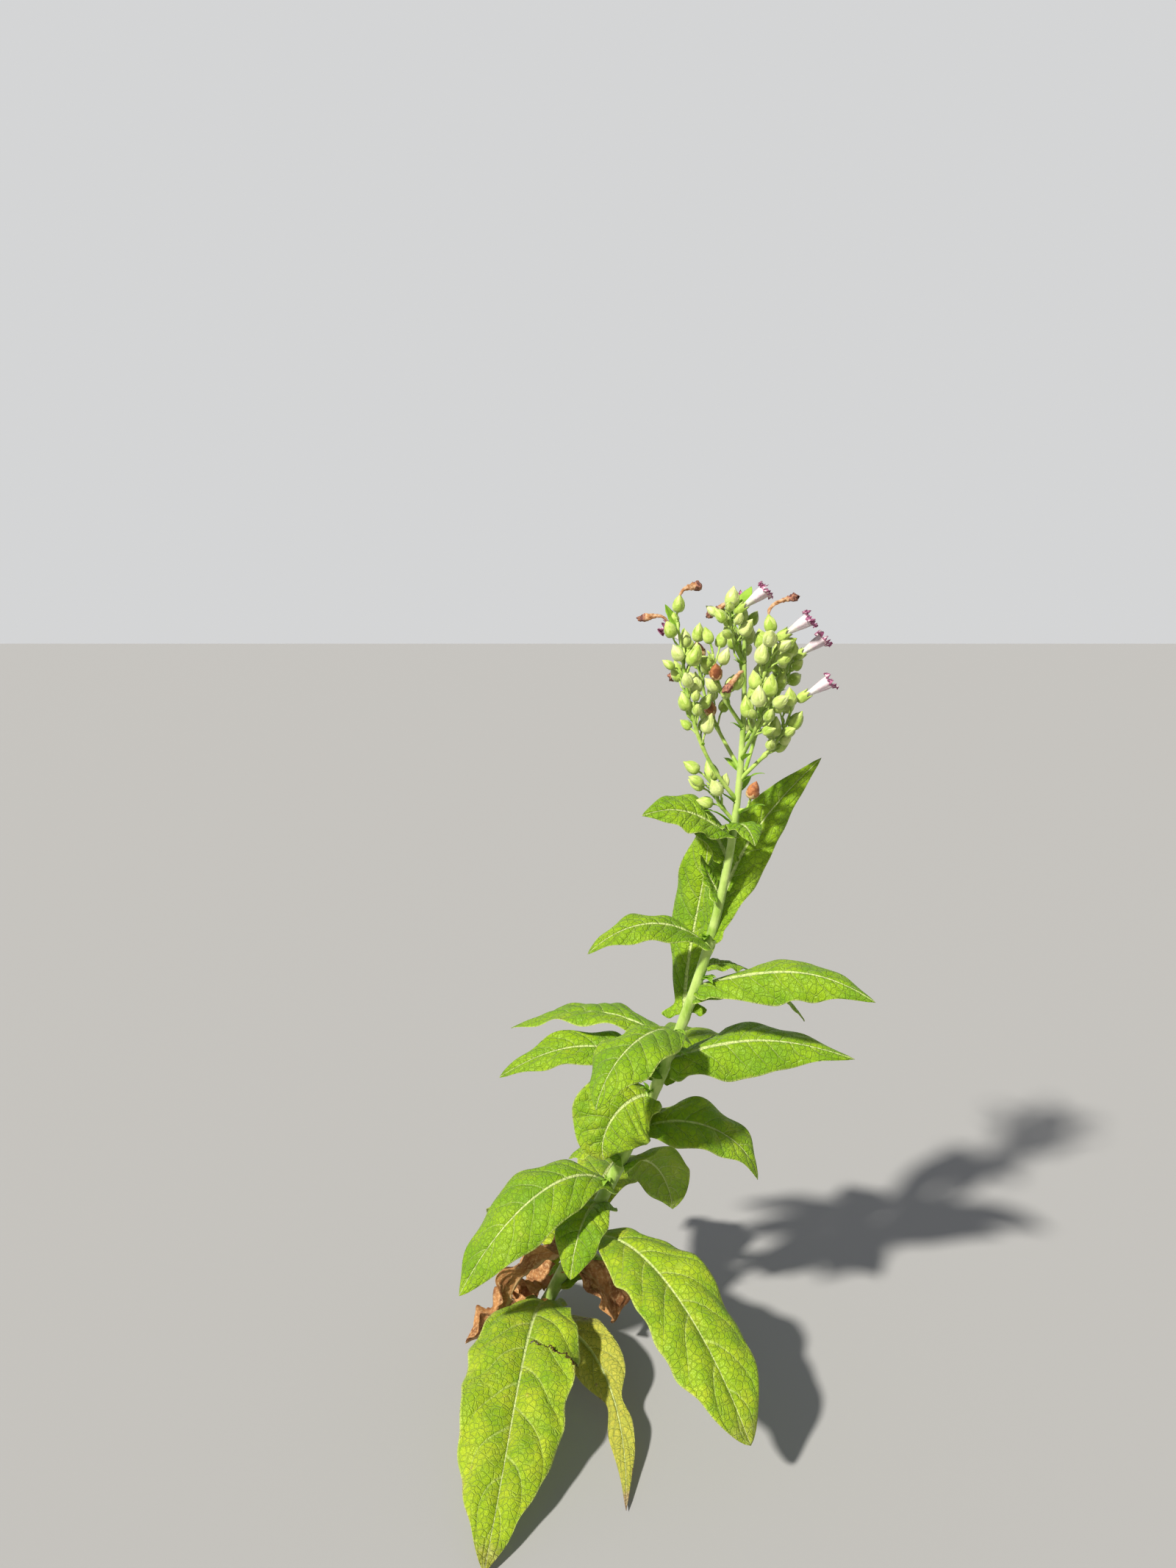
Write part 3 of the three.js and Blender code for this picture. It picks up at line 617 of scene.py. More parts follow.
def bladeGrids(leaf, index, kind):
    root, _, rootRadius = onStem(leaf["at"])
    bends = leaf["rise"], leaf["fall"], leaf["sweep"]
    midrib = arching(root, leaf["bearing"], leaf["reach"], -leaf["drop"], *bends)
    steps = np.linspace(0, 1, 2001)
    run = np.cumsum(np.linalg.norm(np.diff(pointAt(midrib, steps), axis=0), axis=1))
    run = np.concatenate([[0], run])
    start = steps[np.searchsorted(run, rootRadius * 0.6)]
    t = np.linspace(start, 1, blade["along"] * leaf["fine"] + 1)
    side = np.linspace(1, -1, 2 * blade["halfAcross"] * leaf["fine"] + 1)
    v = np.sign(side) * np.abs(side) ** 1.2

    centre, tangent = pointAt(midrib, t), tangentAt(midrib, t)
    level = outward(leaf["bearing"] + 90)
    across = unit(level - tangent * (tangent @ level)[:, None])
    roll = (math.radians(leaf["roll"]) * np.minimum(1, t / blade["rollStart"]))[:, None]
    across = across * np.cos(roll) + np.cross(tangent, across) * np.sin(roll)
    normal = np.cross(tangent, across)

    alongGrid, acrossGrid = np.meshgrid(t, v, indexing="ij")
    aside, halfSign = np.abs(acrossGrid), np.sign(acrossGrid)
    seed = kind["seed"] + index
    half = halfWidth(leaf, t)[:, None]
    length = np.interp(t, steps, run)[:, None] + 0 * alongGrid
    outline = unevenness(seed, length / blade["outlineWave"], halfSign)
    auricle = hump((length / rootRadius - 1.3) / 1.1)
    half = half + leaf["auricle"] * blade["auricle"] * rootRadius * auricle
    half = half * (1 + blade["outline"] * leaf["scallop"] * outline * np.minimum(1, aside * 4))
    if "waist" in leaf:
        place, depth = leaf["waist"]
        half = half * (1 - depth * hump(t - place, blade["waistLength"])[:, None])

    # How far the blade lifts: its cup, ripples and ruffles, the fields between its veins, and torn flaps.
    phase = index * blade["rippleStep"] + np.where(acrossGrid > 0, blade["rippleOffset"], 0)
    wave = np.sin(2 * math.pi * blade["ripples"] * alongGrid + phase)
    lift = (kind["cup"] - leaf["fold"]) * aside - blade["drape"] * aside**2 + kind["ripple"] * aside**3 * wave
    ends = np.minimum(1, (1 - alongGrid) * 8) * np.minimum(1, (alongGrid - start) * 12)
    frill = unevenness(seed + 200, length / blade["ruffleWave"], halfSign * 1.3)
    wobble = unevenness(seed + 400, length / blade["wobbleWave"], acrossGrid * 1.6)
    lift = lift + blade["ruffle"] * aside**4 * frill * ends + blade["wobble"] * wobble * aside
    veins = alongGrid - leafLook["veinLean"] * aside - leafLook["veinBow"] * aside**2
    veins = veins * leafLook["veinPairs"] + 0.25 + 0.16 * unevenness(seed + 300, alongGrid * 5, aside)
    offVein = np.abs(np.mod(veins + (acrossGrid > 0) * leafLook["otherHalf"], 1) - 0.5) * 2
    lift = lift + blade["quilt"] * np.sqrt(offVein) * (1 - aside**6) * np.minimum(1, aside * 5) * ends
    for tear in tearsOf(index, kind):
        share, past = tearPlace(tear, alongGrid, acrossGrid)
        above, below = blade["flapUp"] * np.exp(-past / 0.05), blade["flapDown"] * np.exp(past / 0.04)
        lift = lift + np.where(past > 0, above, -below) * np.sqrt(share)
    if kind["crumple"]:
        folds = unevenness(seed + 600, alongGrid * 6, acrossGrid * 4.2)
        folds = folds + 0.45 * unevenness(seed + 700, alongGrid * 15, acrossGrid * 7)
        lift = lift + kind["crumple"] * folds
    x = acrossGrid * half
    groove = blade["groove"] * hump(x, blade["grooveWidth"]) * np.minimum(1, half / 20)
    upper = centre[:, None] + spread(across, x) + spread(normal, half * lift - groove)

    # Small wings go back round the stem from the foot of the blade.
    away = np.linalg.norm(centre - root, axis=1)[:, None]
    fade = np.clip(1 - away / (2.4 * rootRadius), 0, 1) ** 1.5
    wing = np.clip((aside - 0.3) / 0.7, 0, 1) * fade * rootRadius
    upper = upper - outward(leaf["bearing"]) * (wing * blade["wingBack"])[..., None]
    upper = upper + spread(across, halfSign * wing * 0.4)
    upper[..., 2] += wing * 0.8 * np.sin(acrossGrid * 8 + index * 1.7)
    gap = np.full(alongGrid.shape, blade["collarGap"])
    gap[0] = -1.2
    close = away[:, 0] < 3.2 * rootRadius
    upper[close] = claspedRoundStem(upper[close], leaf, gap[close])

    ribHalf = blade["ribHalfWidth"] * (1 - 0.8 * alongGrid) * np.clip(leaf["width"] / 110, 0.45, 1)
    rib = blade["ribDepth"] * (1 - 0.85 * alongGrid) * np.clip(leaf["width"] / 110, 0.4, 1)
    ridge = blade["veinRidge"] * hump(offVein, blade["veinRidgeWidth"]) * (1 - aside)
    depth = blade["thickness"] + rib * hump(x, ribHalf) + ridge * np.minimum(1, aside * 6)
    lower = upper - spread(normal, depth)
    upper[..., 2] = np.maximum(upper[..., 2], blade["clearance"] + blade["thickness"])
    lower[..., 2] = np.maximum(lower[..., 2], blade["clearance"] * 0.5)
    return dict(upper=upper, lower=lower, along=alongGrid, across=acrossGrid, x=x, length=length, veins=veins)


def keptCells(index, grids, kind):
    corners = [slice(None, -1), slice(1, None)]
    t, v = (sum(grids[key][j, i] for j in corners for i in corners) / 4 for key in ("along", "across"))
    keep = np.ones(t.shape, bool)
    for tear in tearsOf(index, kind):
        share, past = tearPlace(tear, t, v)
        inside = np.abs(past) < tear[4] * (0.35 + 0.65 * share)
        keep &= ~(inside & (v > tear[2]) & (v < tear[3]))
    return keep


def makeLeaf(leaf, index, kind, name, node, materials):
    grids = bladeGrids(leaf, index, kind)
    keep = keptCells(index, grids, kind)
    shape, used, sheetFaces = slab(grids["upper"], grids["lower"], keep)
    faceCount = len(shape[1])
    faceMaterials = np.zeros(faceCount, np.int32)
    faceMaterials[1:sheetFaces:2] = len(materials) - 1
    piece = makePiece(name, shape, materials, faceMaterials, slice(sheetFaces, faceCount))
    mesh = piece.data

    def onPoints(values):
        values = values.reshape(grids["along"].size, -1)
        return np.concatenate([values, values])[used]

    near = np.pad(~keep, 1)
    burn = (near[:-1, :-1] | near[1:, :-1] | near[:-1, 1:] | near[1:, 1:]).astype(float)
    age = float(leaf["age"]) + 0 * grids["along"]
    place = np.stack([grids["across"], grids["along"], age], -1)
    for key, values in ("bladePlace", place), ("burn", burn), ("veinCount", grids["veins"]):
        setOnPoints(mesh, key, onPoints(values))
    flat = onPoints(np.stack([grids["x"], grids["length"]], -1) * metre)
    corners = np.zeros(len(mesh.loops), np.int32)
    mesh.loops.foreach_get("vertex_index", corners)
    mesh.uv_layers.new(name="bladeFlat").data.foreach_set("uv", flat[corners].ravel())
    finishPiece(piece, [node])


for i, leaf in enumerate(leaves):
    makeLeaf(leaf, i, freshBlade, f"blade_{i + 1:02d}", f"leaf_{i + 1:02d}", leafSkins)
print("leaves made:", len(leaves))
for i, leaf in enumerate(witheredLeaves):
    name, node = f"withered_blade_{i + 1}", f"withered_leaf_{i + 1}"
    makeLeaf(leaf, i, witheredBlade, name, node, [witheredSkin])
print("withered leaves made:", len(witheredLeaves))


# Stem: swollen where a leaf leaves it, ridged below, with scars of lost leaves near the ground.
stemScars = [(0.012, 70), (0.018, 200), (0.03, 330), (0.045, 95), (0.06, 235), (0.078, 300)]


def makeStem():
    t = np.linspace(0, 1, stem["rings"] + 1) ** stem["ringGather"]
    alongGrid, angle = np.meshgrid(t, anglesRound(stem["sides"]), indexing="ij")
    centre, along = pointAt(stem["curve"], t), tangentAt(stem["curve"], t)
    side = unit(np.array([1.0, 0, 0]) - along * along[:, :1])
    height = centre[:, 2][:, None]
    radius = stemRadius(alongGrid)
    relief = np.zeros(alongGrid.shape)

    def aboveAndTurn(at, bearing):
        above = height - onStem(at)[0][2]
        return above, np.angle(np.exp(1j * (angle - math.radians(bearing))))

    for leaf in leaves:
        above, turn = aboveAndTurn(leaf["at"], leaf["bearing"])
        below = np.clip(-above / stem["ridgeRun"], 0, 1)
        fade = np.where(above <= 0, (1 - below) ** 1.3, hump(above, 5))
        ridges = sum(hump(turn + way * stem["ridgeAside"], stem["ridgeWidth"]) for way in (-1, 1))
        relief += stem["ridge"] * fade * ridges
        relief += stem["nodeSwelling"] * hump(above, 6) * (0.55 + 0.45 * np.cos(turn))
    for at, bearing in stemScars:
        above, turn = aboveAndTurn(at, bearing)
        rim = hump(turn, 0.5) * hump(above + 3 * (turn / 0.5) ** 2, 3.2)
        relief += stem["scarRim"] * rim - stem["scarDepth"] * hump(turn, 0.34) * hump(above, 1.6)
    relief += 0.22 * np.sin(angle * 9 + 3 * np.sin(alongGrid * 9)) * (1 - 0.6 * alongGrid)
    relief += 1.3 * np.exp(-height / 18) * np.sin(angle * 4 + 0.6)
    relief *= np.clip(radius / 9, 0.3, 1)
    ring = ringAt(side[:, None], np.cross(along, side)[:, None], angle)
    points = centre[:, None] + ring * (radius + relief)[..., None]
    points[0, :, 2] = 0
    points[..., 2] = np.maximum(points[..., 2], 0)
    shape = points.reshape(-1, 3), closedTubeFaces(len(t), stem["sides"])
    return finishPiece(makePiece("stem_skin", shape, [stemSkin]), ["stem"])


stemPiece = makeStem()
print("stem made")

# Seed head: the same seeded rule as the frame's branches.
head = {
    "foot": 0.7, "branchRise": 48, "branchTipRise": 80, "branchFootRadius": 2.9, "branchTipRadius": 1.5,
    "twigRadius": 1.3, "twigOpening": 44, "twigTurn": 137.5, "twigTurnSpread": 40, "twigLift": 0.35,
    "tipTwigLength": 6, "firstTwig": 0.3, "twigSpan": 0.62, "pedicel": 7, "podLength": 25,
    "podRadius": 8.3, "podOpening": 27, "podLift": 0.2, "smallestPod": 0.82, "podSpread": 0.3,
    "flowerLength": 50, "flowerRadius": 10.5, "flowerRise": 5, "flowerRiseSpread": 20, "flowerAside": 2,
    "clearance": 1.2, "ballSpacing": 6, "swelling": 0.35, "footSwelling": 0.25,
}
branchKeys = "at", "bearing", "reach", "climb", "twigs", "twigLength", "flowers"
branchRows = [
    (0.748, 196, 34, 60, 4, 17, []),
    (0.762, 325, 18, 10, 0, 8, []),
    (0.778, 197, 88, 236, 8, 14, []),
    (0.792, 60, 88, 160, 5, 15, [70]),
    (0.806, 336, 68, 104, 5, 14, [352]),
    (0.82, 130, 84, 150, 5, 15, [150]),
    (0.836, 290, 58, 90, 7, 14, []),
    (0.858, 15, 62, 100, 4, 14, [15]),
    (0.876, 215, 54, 98, 5, 14, []),
    (0.9, 320, 40, 86, 5, 13, [350]),
    (0.925, 95, 38, 78, 4, 13, [80]),
    (0.955, 215, 26, 58, 4, 12, [5]),
]
branches = [dict(zip(branchKeys, row)) for row in branchRows]
headNodes = [f"head_branch_{i + 1:02d}" for i in range(len(branches))]


# Numbers from 0 to 1, in the frame's own order.
def seededRow(seed):
    state = seed
    while True:
        state = (state * 1664525 + 1013904223) % 4294967296
        yield state / 4294967296


taken = []  # centre, radius, owner and whether it is a fruit


def ballsAlong(start, end, radius, owner, fruit):
    count = max(2, math.ceil(np.linalg.norm(end - start) / head["ballSpacing"]))
    return [(start + (end - start) * i / count, radius, owner, fruit) for i in range(count + 1)]


# Takes the room that the balls need, where all of it is free.
def claimed(balls):
    centres, radii, owners, fruits = (np.array(column) for column in zip(*taken))
    for centre, radius, owner, fruit in balls:
        joinedTo = (owners == owner) & ~(fruits & fruit)
        apart = np.linalg.norm(centres - centre, axis=1) > radius + radii + head["clearance"]
        if not np.all(joinedTo | apart):
            return False
    taken.extend(balls)
    return True


def twigWithPods(start, direction, length, owner, row, sizes=head):
    fork = start + direction * length
    aside = turned(unit(np.cross(direction, up)), direction, math.pi * next(row))
    opening = math.radians(head["podOpening"])
    pods = []
    for sign in (-1, 1):
        size = sizes["smallestPod"] + sizes["podSpread"] * next(row)
        lean = direction * math.cos(opening) + aside * sign * math.sin(opening) + up * head["podLift"]
        lean = unit(lean)
        foot = fork + lean * head["pedicel"]
        end = foot + lean * head["podLength"] * size
        belly = foot + (end - foot) * 0.25, foot + (end - foot) * 0.75
        if claimed(ballsAlong(*belly, head["podRadius"] * size, owner, True)):
            pods.append(dict(foot=foot, lean=lean, size=size))
    if pods and claimed(ballsAlong(start, fork, head["twigRadius"], owner, False)):
        return dict(start=start, fork=fork, pods=pods, owner=owner)
    return None


# The way that a path runs at a place, and a way aside from it that is turned round the path.
def besides(path, along, branch, turn):
    tangent, level = tangentAt(path, along), outward(branch["bearing"] + 90)
    return tangent, level * math.cos(turn) + np.cross(tangent, level) * math.sin(turn)


def twigsOf(branch, index, path):
    row = seededRow(101 + index * 17)
    opening = math.radians(head["twigOpening"])
    found = []
    for i in range(branch["twigs"]):
        along = head["firstTwig"] + head["twigSpan"] * (i + 0.5) / branch["twigs"]
        turn = math.radians(head["twigTurn"] * i + head["twigTurnSpread"] * next(row))
        tangent, side = besides(path, along, branch, turn)
        direction = unit(tangent * math.cos(opening) + side * math.sin(opening) + up * head["twigLift"])
        length = branch["twigLength"] * (0.8 + 0.5 * next(row))
        found.append(twigWithPods(pointAt(path, along), direction, length, index, row))
    found.append(twigWithPods(pointAt(path, 1), tangentAt(path, 1), head["tipTwigLength"], index, row))
    return found


def flowersOf(branch, index, path):
    row = seededRow(503 + index * 13)
    tip = pointAt(path, 1)
    found = []
    for bearing in branch["flowers"]:
        aside = outward(bearing, head["flowerRise"] + head["flowerRiseSpread"] * next(row))
        lean = unit(tangentAt(path, 1) + aside * head["flowerAside"])
        foot = tip + lean * head["pedicel"]
        mouth = foot + lean * head["flowerLength"]
        balls = ballsAlong(foot, foot + (mouth - foot) * 0.8, head["flowerRadius"] * 0.35, index, True)
        if claimed(balls + [(mouth, head["flowerRadius"], index, True)]):
            found.append(dict(start=tip, foot=foot, lean=lean, size=1))
    return found


# Finer twigs, which the frame leaves out: small pods and buds wherever there is still room.
fineHead = {
    "twigs": 34, "smallestPod": 0.64, "podSpread": 0.26, "twigLength": 6, "twigSpread": 15, "buds": 10,
    "budRadius": 2.1, "budLength": 9, "budStalk": 6, "driedPods": [3, 24, 28, 42], "seed": 907,
    "budSeed": 311,
}


def fineTwigsOf(branch, index, path):
    row = seededRow(fineHead["seed"] + index * 31)
    found = []
    for i in range(fineHead["twigs"] if branch["twigs"] else 0):
        along = 0.34 + 0.62 * next(row)
        tangent, side = besides(path, along, branch, 2 * math.pi * next(row))
        direction = unit(tangent * 0.75 + side * 0.65 + up * head["twigLift"])
        length = fineHead["twigLength"] + fineHead["twigSpread"] * next(row)
        found.append(twigWithPods(pointAt(path, along), direction, length, index, row, fineHead))
    return found


def budsOf(branch, index, path):
    row = seededRow(fineHead["budSeed"] + index * 29)
    found = []
    for i in range(fineHead["buds"] if branch["twigs"] else 2):
        along = 0.62 + 0.38 * next(row)
        start = pointAt(path, along)
        tangent, side = besides(path, along, branch, 2 * math.pi * next(row))
        lean = unit(tangent * 0.7 + side * 0.7 + up * 0.3)
        foot = start + lean * fineHead["budStalk"] * (0.8 + 0.8 * next(row))
        size = 0.6 + 0.8 * next(row)
        end = foot + lean * fineHead["budLength"] * size
        if claimed(ballsAlong(foot + lean, end, fineHead["budRadius"] * size, index, True)):
            found.append(dict(start=start, foot=foot, lean=lean, size=size))
    return found


def branchPath(branch):
    bends = head["branchRise"], head["branchTipRise"], 0
    return arching(onStem(branch["at"])[0], branch["bearing"], branch["reach"], branch["climb"], *bends)


def grown(rule):
    return [thing for i, path in enumerate(paths) for thing in rule(branches[i], i, path) if thing]


for step in range(31):
    middle, _, radius = onStem(head["foot"] + 0.01 * step)
    taken.append((middle, radius, -1, False))
paths = [branchPath(branch) for branch in branches]
for i, path in enumerate(paths):
    taken += [(pointAt(path, k / 12), head["branchFootRadius"], i, False) for k in range(1, 13)]
flowers, twigs, fineTwigs, buds = (grown(rule) for rule in (flowersOf, twigsOf, fineTwigsOf, budsOf))
pods, finePods = ([pod for twig in some for pod in twig["pods"]] for some in (twigs, fineTwigs))
print("seed head:", len(twigs), "twigs,", len(pods), "pods,", len(flowers), "flowers")
print("finer twigs:", len(fineTwigs), "with", len(finePods), "pods, and", len(buds), "buds")


# Shapes that are repeated: one unit long along Z, foot at the origin.
def roundBody(radius, height):
    rows, sides = radius.shape
    angle = anglesRound(sides)
    ring = np.stack([radius * np.cos(angle), radius * np.sin(angle), height + 0 * radius], -1).reshape(-1, 3)
    points = np.vstack([ring, [[0, 0, height[0].mean()]], [[0, 0, height[-1].mean()]]])
    last, foot, top = (rows - 1) * sides, rows * sides, rows * sides + 1
    faces = ringFaces(rows, sides)
    faces += [(foot, (i + 1) % sides, i) for i in range(sides)]
    faces += [(top, last + i, last + (i + 1) % sides) for i in range(sides)]
    return points, faces


podLook = {
    "heights": (0, 0.03, 0.1, 0.22, 0.35, 0.5, 0.63, 0.75, 0.85, 0.93, 1),
    "radii": (0.1, 0.42, 0.76, 0.95, 1, 0.95, 0.82, 0.62, 0.4, 0.2, 0.05),
    "sides": 18, "girth": 8.3 / 25, "longer": 1.12, "rim": 0.4, "tooth": 0.4,
    "dryRim": 0.24, "dryTooth": 0.22, "ridge": 0.05, "calyxSides": 30,
}
flowerCalyxProfile = ((0, 0.1, 0.3, 0.6, 0.8, 1), (0.3, 0.75, 1, 0.96, 0.84, 0.8))
budHeights, budRadii = (0, 0.08, 0.3, 0.55, 0.8, 1), (0.5, 0.9, 1, 0.85, 0.5, 0.12)


def podShape():
    height = np.array(podLook["heights"])[:, None]
    angle = anglesRound(podLook["sides"])
    seam = hump(np.sin(angle), 0.22) + 0.5 * hump(np.cos(angle), 0.2)
    radius = np.array(podLook["radii"])[:, None] * (1 - 0.1 * seam * np.clip(height * 2 - 0.6, 0, 1))
    return roundBody(radius * podLook["girth"], height + 0 * angle)


# A calyx: a cup with five ribs and teeth that lies on what it holds and turns in at its rim.
def calyxShape(profile, girth, rim, tooth, flare=0.0):
    angle = anglesRound(podLook["calyxSides"])
    wave = 1 - np.abs(np.mod(angle * 5 / (2 * math.pi), 1) - 0.5) * 2
    height = np.array([0, 0.05, 0.16, 0.34, 0.55, 0.76, 0.92, 1, 1, 0.9])[:, None] * (rim + tooth * wave**1.6)
    radius = np.interp(height, *profile) * 1.05 + 0.02
    radius = radius * (1 + podLook["ridge"] * np.cos(angle * 5 + math.pi)) * (1 + 0.015 * np.cos(angle * 10))
    radius = radius + flare * (height / (rim + tooth)) ** 4
    radius[0] *= 0.4
    radius[-2] -= 0.035
    radius[-1] *= 0.7
    return roundBody(np.maximum(radius, 0.01) * girth, height)


podBody = podShape()
podProfile = podLook["heights"], podLook["radii"]
podCalyx = calyxShape(podProfile, podLook["girth"], podLook["rim"], podLook["tooth"])
dryCalyx = calyxShape(podProfile, podLook["girth"], podLook["dryRim"], podLook["dryTooth"])
flowerCalyx = calyxShape(flowerCalyxProfile, 0.3, 0.66, 0.34, 0.1)
budBody = roundBody(np.outer(budRadii, np.full(8, 0.24)), np.outer(budHeights, np.ones(8)))


# A geometry tree with named inputs; build makes what stands between them and the last two nodes.
def geometryTree(name, given, build):
    tree = bpy.data.node_groups.new(name, "GeometryNodeTree")
    named = {}
    for socketName, kind in given.items():
        socket = tree.interface.new_socket(socketName, in_out="INPUT", socket_type="NodeSocket" + kind)
        named[socketName] = socket.identifier
    tree.interface.new_socket("Pieces", in_out="OUTPUT", socket_type="NodeSocketGeometry")
    work, inputs = NodeWork(tree), tree.nodes.new("NodeGroupInput").outputs
    real = work.node("GeometryNodeRealizeInstances", {"Geometry": build(work, inputs)})
    painted = work.node("GeometryNodeSetMaterial", {"Geometry": real, "Material": inputs["Finish"]})
    work.feed(tree.nodes.new("NodeGroupOutput").inputs["Pieces"], painted)
    return tree, named


def shapesOnSpots(work, given):
    spin, aim, size = (
        work.node("GeometryNodeInputNamedAttribute", {"Name": name}, "Attribute", data_type=kind)
        for name, kind in (("spin", "FLOAT"), ("aim", "FLOAT_VECTOR"), ("size", "FLOAT_VECTOR"))
    )
    turn = work.node("FunctionNodeAxisAngleToRotation", {"Axis": (0, 0, 1), "Angle": spin})
    align = work.node("FunctionNodeAlignRotationToVector", {"Rotation": turn, "Vector": aim}, axis="Z")
    scale = work.node("ShaderNodeVectorMath", {0: size, "Scale": given["Length"]}, operation="SCALE")
    shape = work.node("GeometryNodeObjectInfo", {"Object": given["Shape"]}, "Geometry")
    inputs = {"Points": given["Spots"], "Instance": shape, "Rotation": align, "Scale": scale}
    return work.node("GeometryNodeInstanceOnPoints", inputs)


placedGiven = {"Spots": "Geometry", "Shape": "Object", "Length": "Float", "Finish": "Material"}
placedShapes = geometryTree("placedShapes", placedGiven, shapesOnSpots)


# Runs a geometry tree on a piece and keeps the result as its plain mesh.
def madePlain(piece, treeAndInputs, values):
    tree, named = treeAndInputs
    modifier = piece.modifiers.new(tree.name, "NODES")
    modifier.node_group = tree
    for name, value in values.items():
        modifier[named[name]] = value
    bpy.context.view_layer.update()
    seen = piece.evaluated_get(bpy.context.evaluated_depsgraph_get())
    mesh = bpy.data.meshes.new_from_object(seen)
    piece.modifiers.clear()
    old, piece.data = piece.data, mesh
    bpy.data.meshes.remove(old)
    mesh.name = piece.name
    return piece


def placeShapes(name, shape, spots, length, finish):
    pattern = bpy.data.objects.new("pattern", meshOf("pattern", *shape))
    mesh = meshOf(name, [spot["foot"] * metre for spot in spots])
    for key, source in ("aim", "lean"), ("size", "scale"), ("spin", "spin"):
        setOnPoints(mesh, key, [spot[source] for spot in spots])
    given = {"Shape": pattern, "Length": length * metre, "Finish": plain[finish]}
    piece = madePlain(addObject(name, mesh), placedShapes, given)
    bpy.data.objects.remove(pattern)
    finishPiece(piece, headNodes)


# Every fruit gets its own girth and turn.
def spotsOf(rows, seed, longer=1.0):
    random = np.random.default_rng(seed)
    spots = []
    for row in rows:
        girth = row["size"] * random.uniform(0.95, 1.07)
        scale = girth, girth, row["size"] * longer
        spots.append({**row, "scale": scale, "spin": random.uniform(0, 6.28)})
    return spots


allSpots = spotsOf(pods + finePods, 5, podLook["longer"])
dried = [allSpots[i] for i in fineHead["driedPods"]]
fresh = [spot for i, spot in enumerate(allSpots) if i not in fineHead["driedPods"]]
green = [spot for i, spot in enumerate(fresh) if i % 3]
for kind, spots, calyx, podFinish, calyxFinish in (
    ("green", green, podCalyx, "podSkin", "calyxSkin"),
    ("pale", fresh[::3], podCalyx, "palePodSkin", "paleCalyx"),
    ("dry", dried, dryCalyx, "dryPodSkin", "dryCalyxSkin"),
):
    placeShapes("pods_" + kind, podBody, spots, head["podLength"], podFinish)
    placeShapes("calyxes_" + kind, calyx, spots, head["podLength"], calyxFinish)
placeShapes("flower_calyxes", flowerCalyx, spotsOf(flowers, 6), 21, "calyxSkin")
placeShapes("buds", budBody, spotsOf(buds, 7), fineHead["budLength"], "calyxSkin")
print("pods, calyxes and buds placed")


def headPiece(name, shapes, finishes, faceMaterials=None):
    piece = makePiece(name, joined(shapes), [plain[key] for key in finishes], faceMaterials)
    finishPiece(piece, headNodes)


def bentPath(start, first, second, end, count=7):
    return pointAt((start, first, second, end), np.linspace(0, 1, count))


# Twigs and stalks, joined into one piece.
def makeTwigs():
    tubes = []

    def stalk(start, first, second, end, radii, sides):
        tubes.append(tube(bentPath(start, first, second, end), radii, sides))

    t = np.linspace(0, 1, 34)
    for index, path in enumerate(paths):
        radius = head["branchFootRadius"] + (head["branchTipRadius"] - head["branchFootRadius"]) * t
        for twig in twigs + fineTwigs:
            if twig["owner"] == index:
                gap = np.linalg.norm(pointAt(path, t) - twig["start"], axis=1)
                radius = radius + head["swelling"] * hump(gap, 4)
        tubes.append(tube(pointAt(path, t), radius * (1 + head["footSwelling"] * hump(t, 0.04)), 12))
    for twig in twigs + fineTwigs:
        start, fork = twig["start"], twig["fork"]
        way = unit(fork - start)
        stalk(start, start + way * 4, fork - way * 4, fork + way, (1.7, 1.45, 1.3, 1.25, 1.25, 1.35, 1.2), 8)
        for pod in twig["pods"]:
            foot, lean = pod["foot"], pod["lean"]
            bends = fork - way, fork + way * 2, foot - lean * 3, foot + lean * 1.5
            stalk(*bends, (1.1, 1.1, 1.1, 1.15, 1.25, 1.5, 2.1), 8)
    for some, bends, radii, sides in (
        (flowers, (-0.5, 2, -2, 1.5), (1.3, 1.2, 1.15, 1.2, 1.3, 1.5, 2.0), 8),
        (buds, (0, 1, -1, 0.6), (0.9, 0.75, 0.7, 0.7, 0.75, 0.85, 1.0), 6),
    ):
        for held in some:
            ends = held["start"], held["start"], held["foot"], held["foot"]
            stalk(*(end + held["lean"] * bend for end, bend in zip(ends, bends)), radii, sides)
    headPiece("twigs", tubes, ["twigSkin"])


makeTwigs()
print("twigs made")


# Two ways square to a lean and to each other.
def frameOf(lean):
    side = unit(np.cross(lean, up))
    return side, np.cross(lean, side)


# Flowers: a pale tube that widens to a throat, and a crumpled rim of five pointed lobes. One is still shut.
flowerLook = {
    "out": (0, 4, 12, 20, 28, 34, 39, 43, 46, 48.5, 50, 51, 51.5, 51.3),
    "radius": (1.8, 2.4, 2.8, 3.7, 5.1, 6.3, 7.2, 7.7, 7.9, 8.6, 9.9, 11.4, 12.8, 13.8),
    "shutRadius": (1.6, 2.1, 2.4, 2.9, 3.9, 4.8, 5.4, 5.6, 5.2, 4.5, 3.8, 3.1, 2.5, 2.2),
    "shut": [0], "throat": 7.9, "limb": 4.6, "blushFrom": 30, "lobe": 0.12, "ruffle": 1.6, "crumple": 8,
    "droop": 2.4, "rows": 46, "sides": 60, "thickness": 0.35,
}


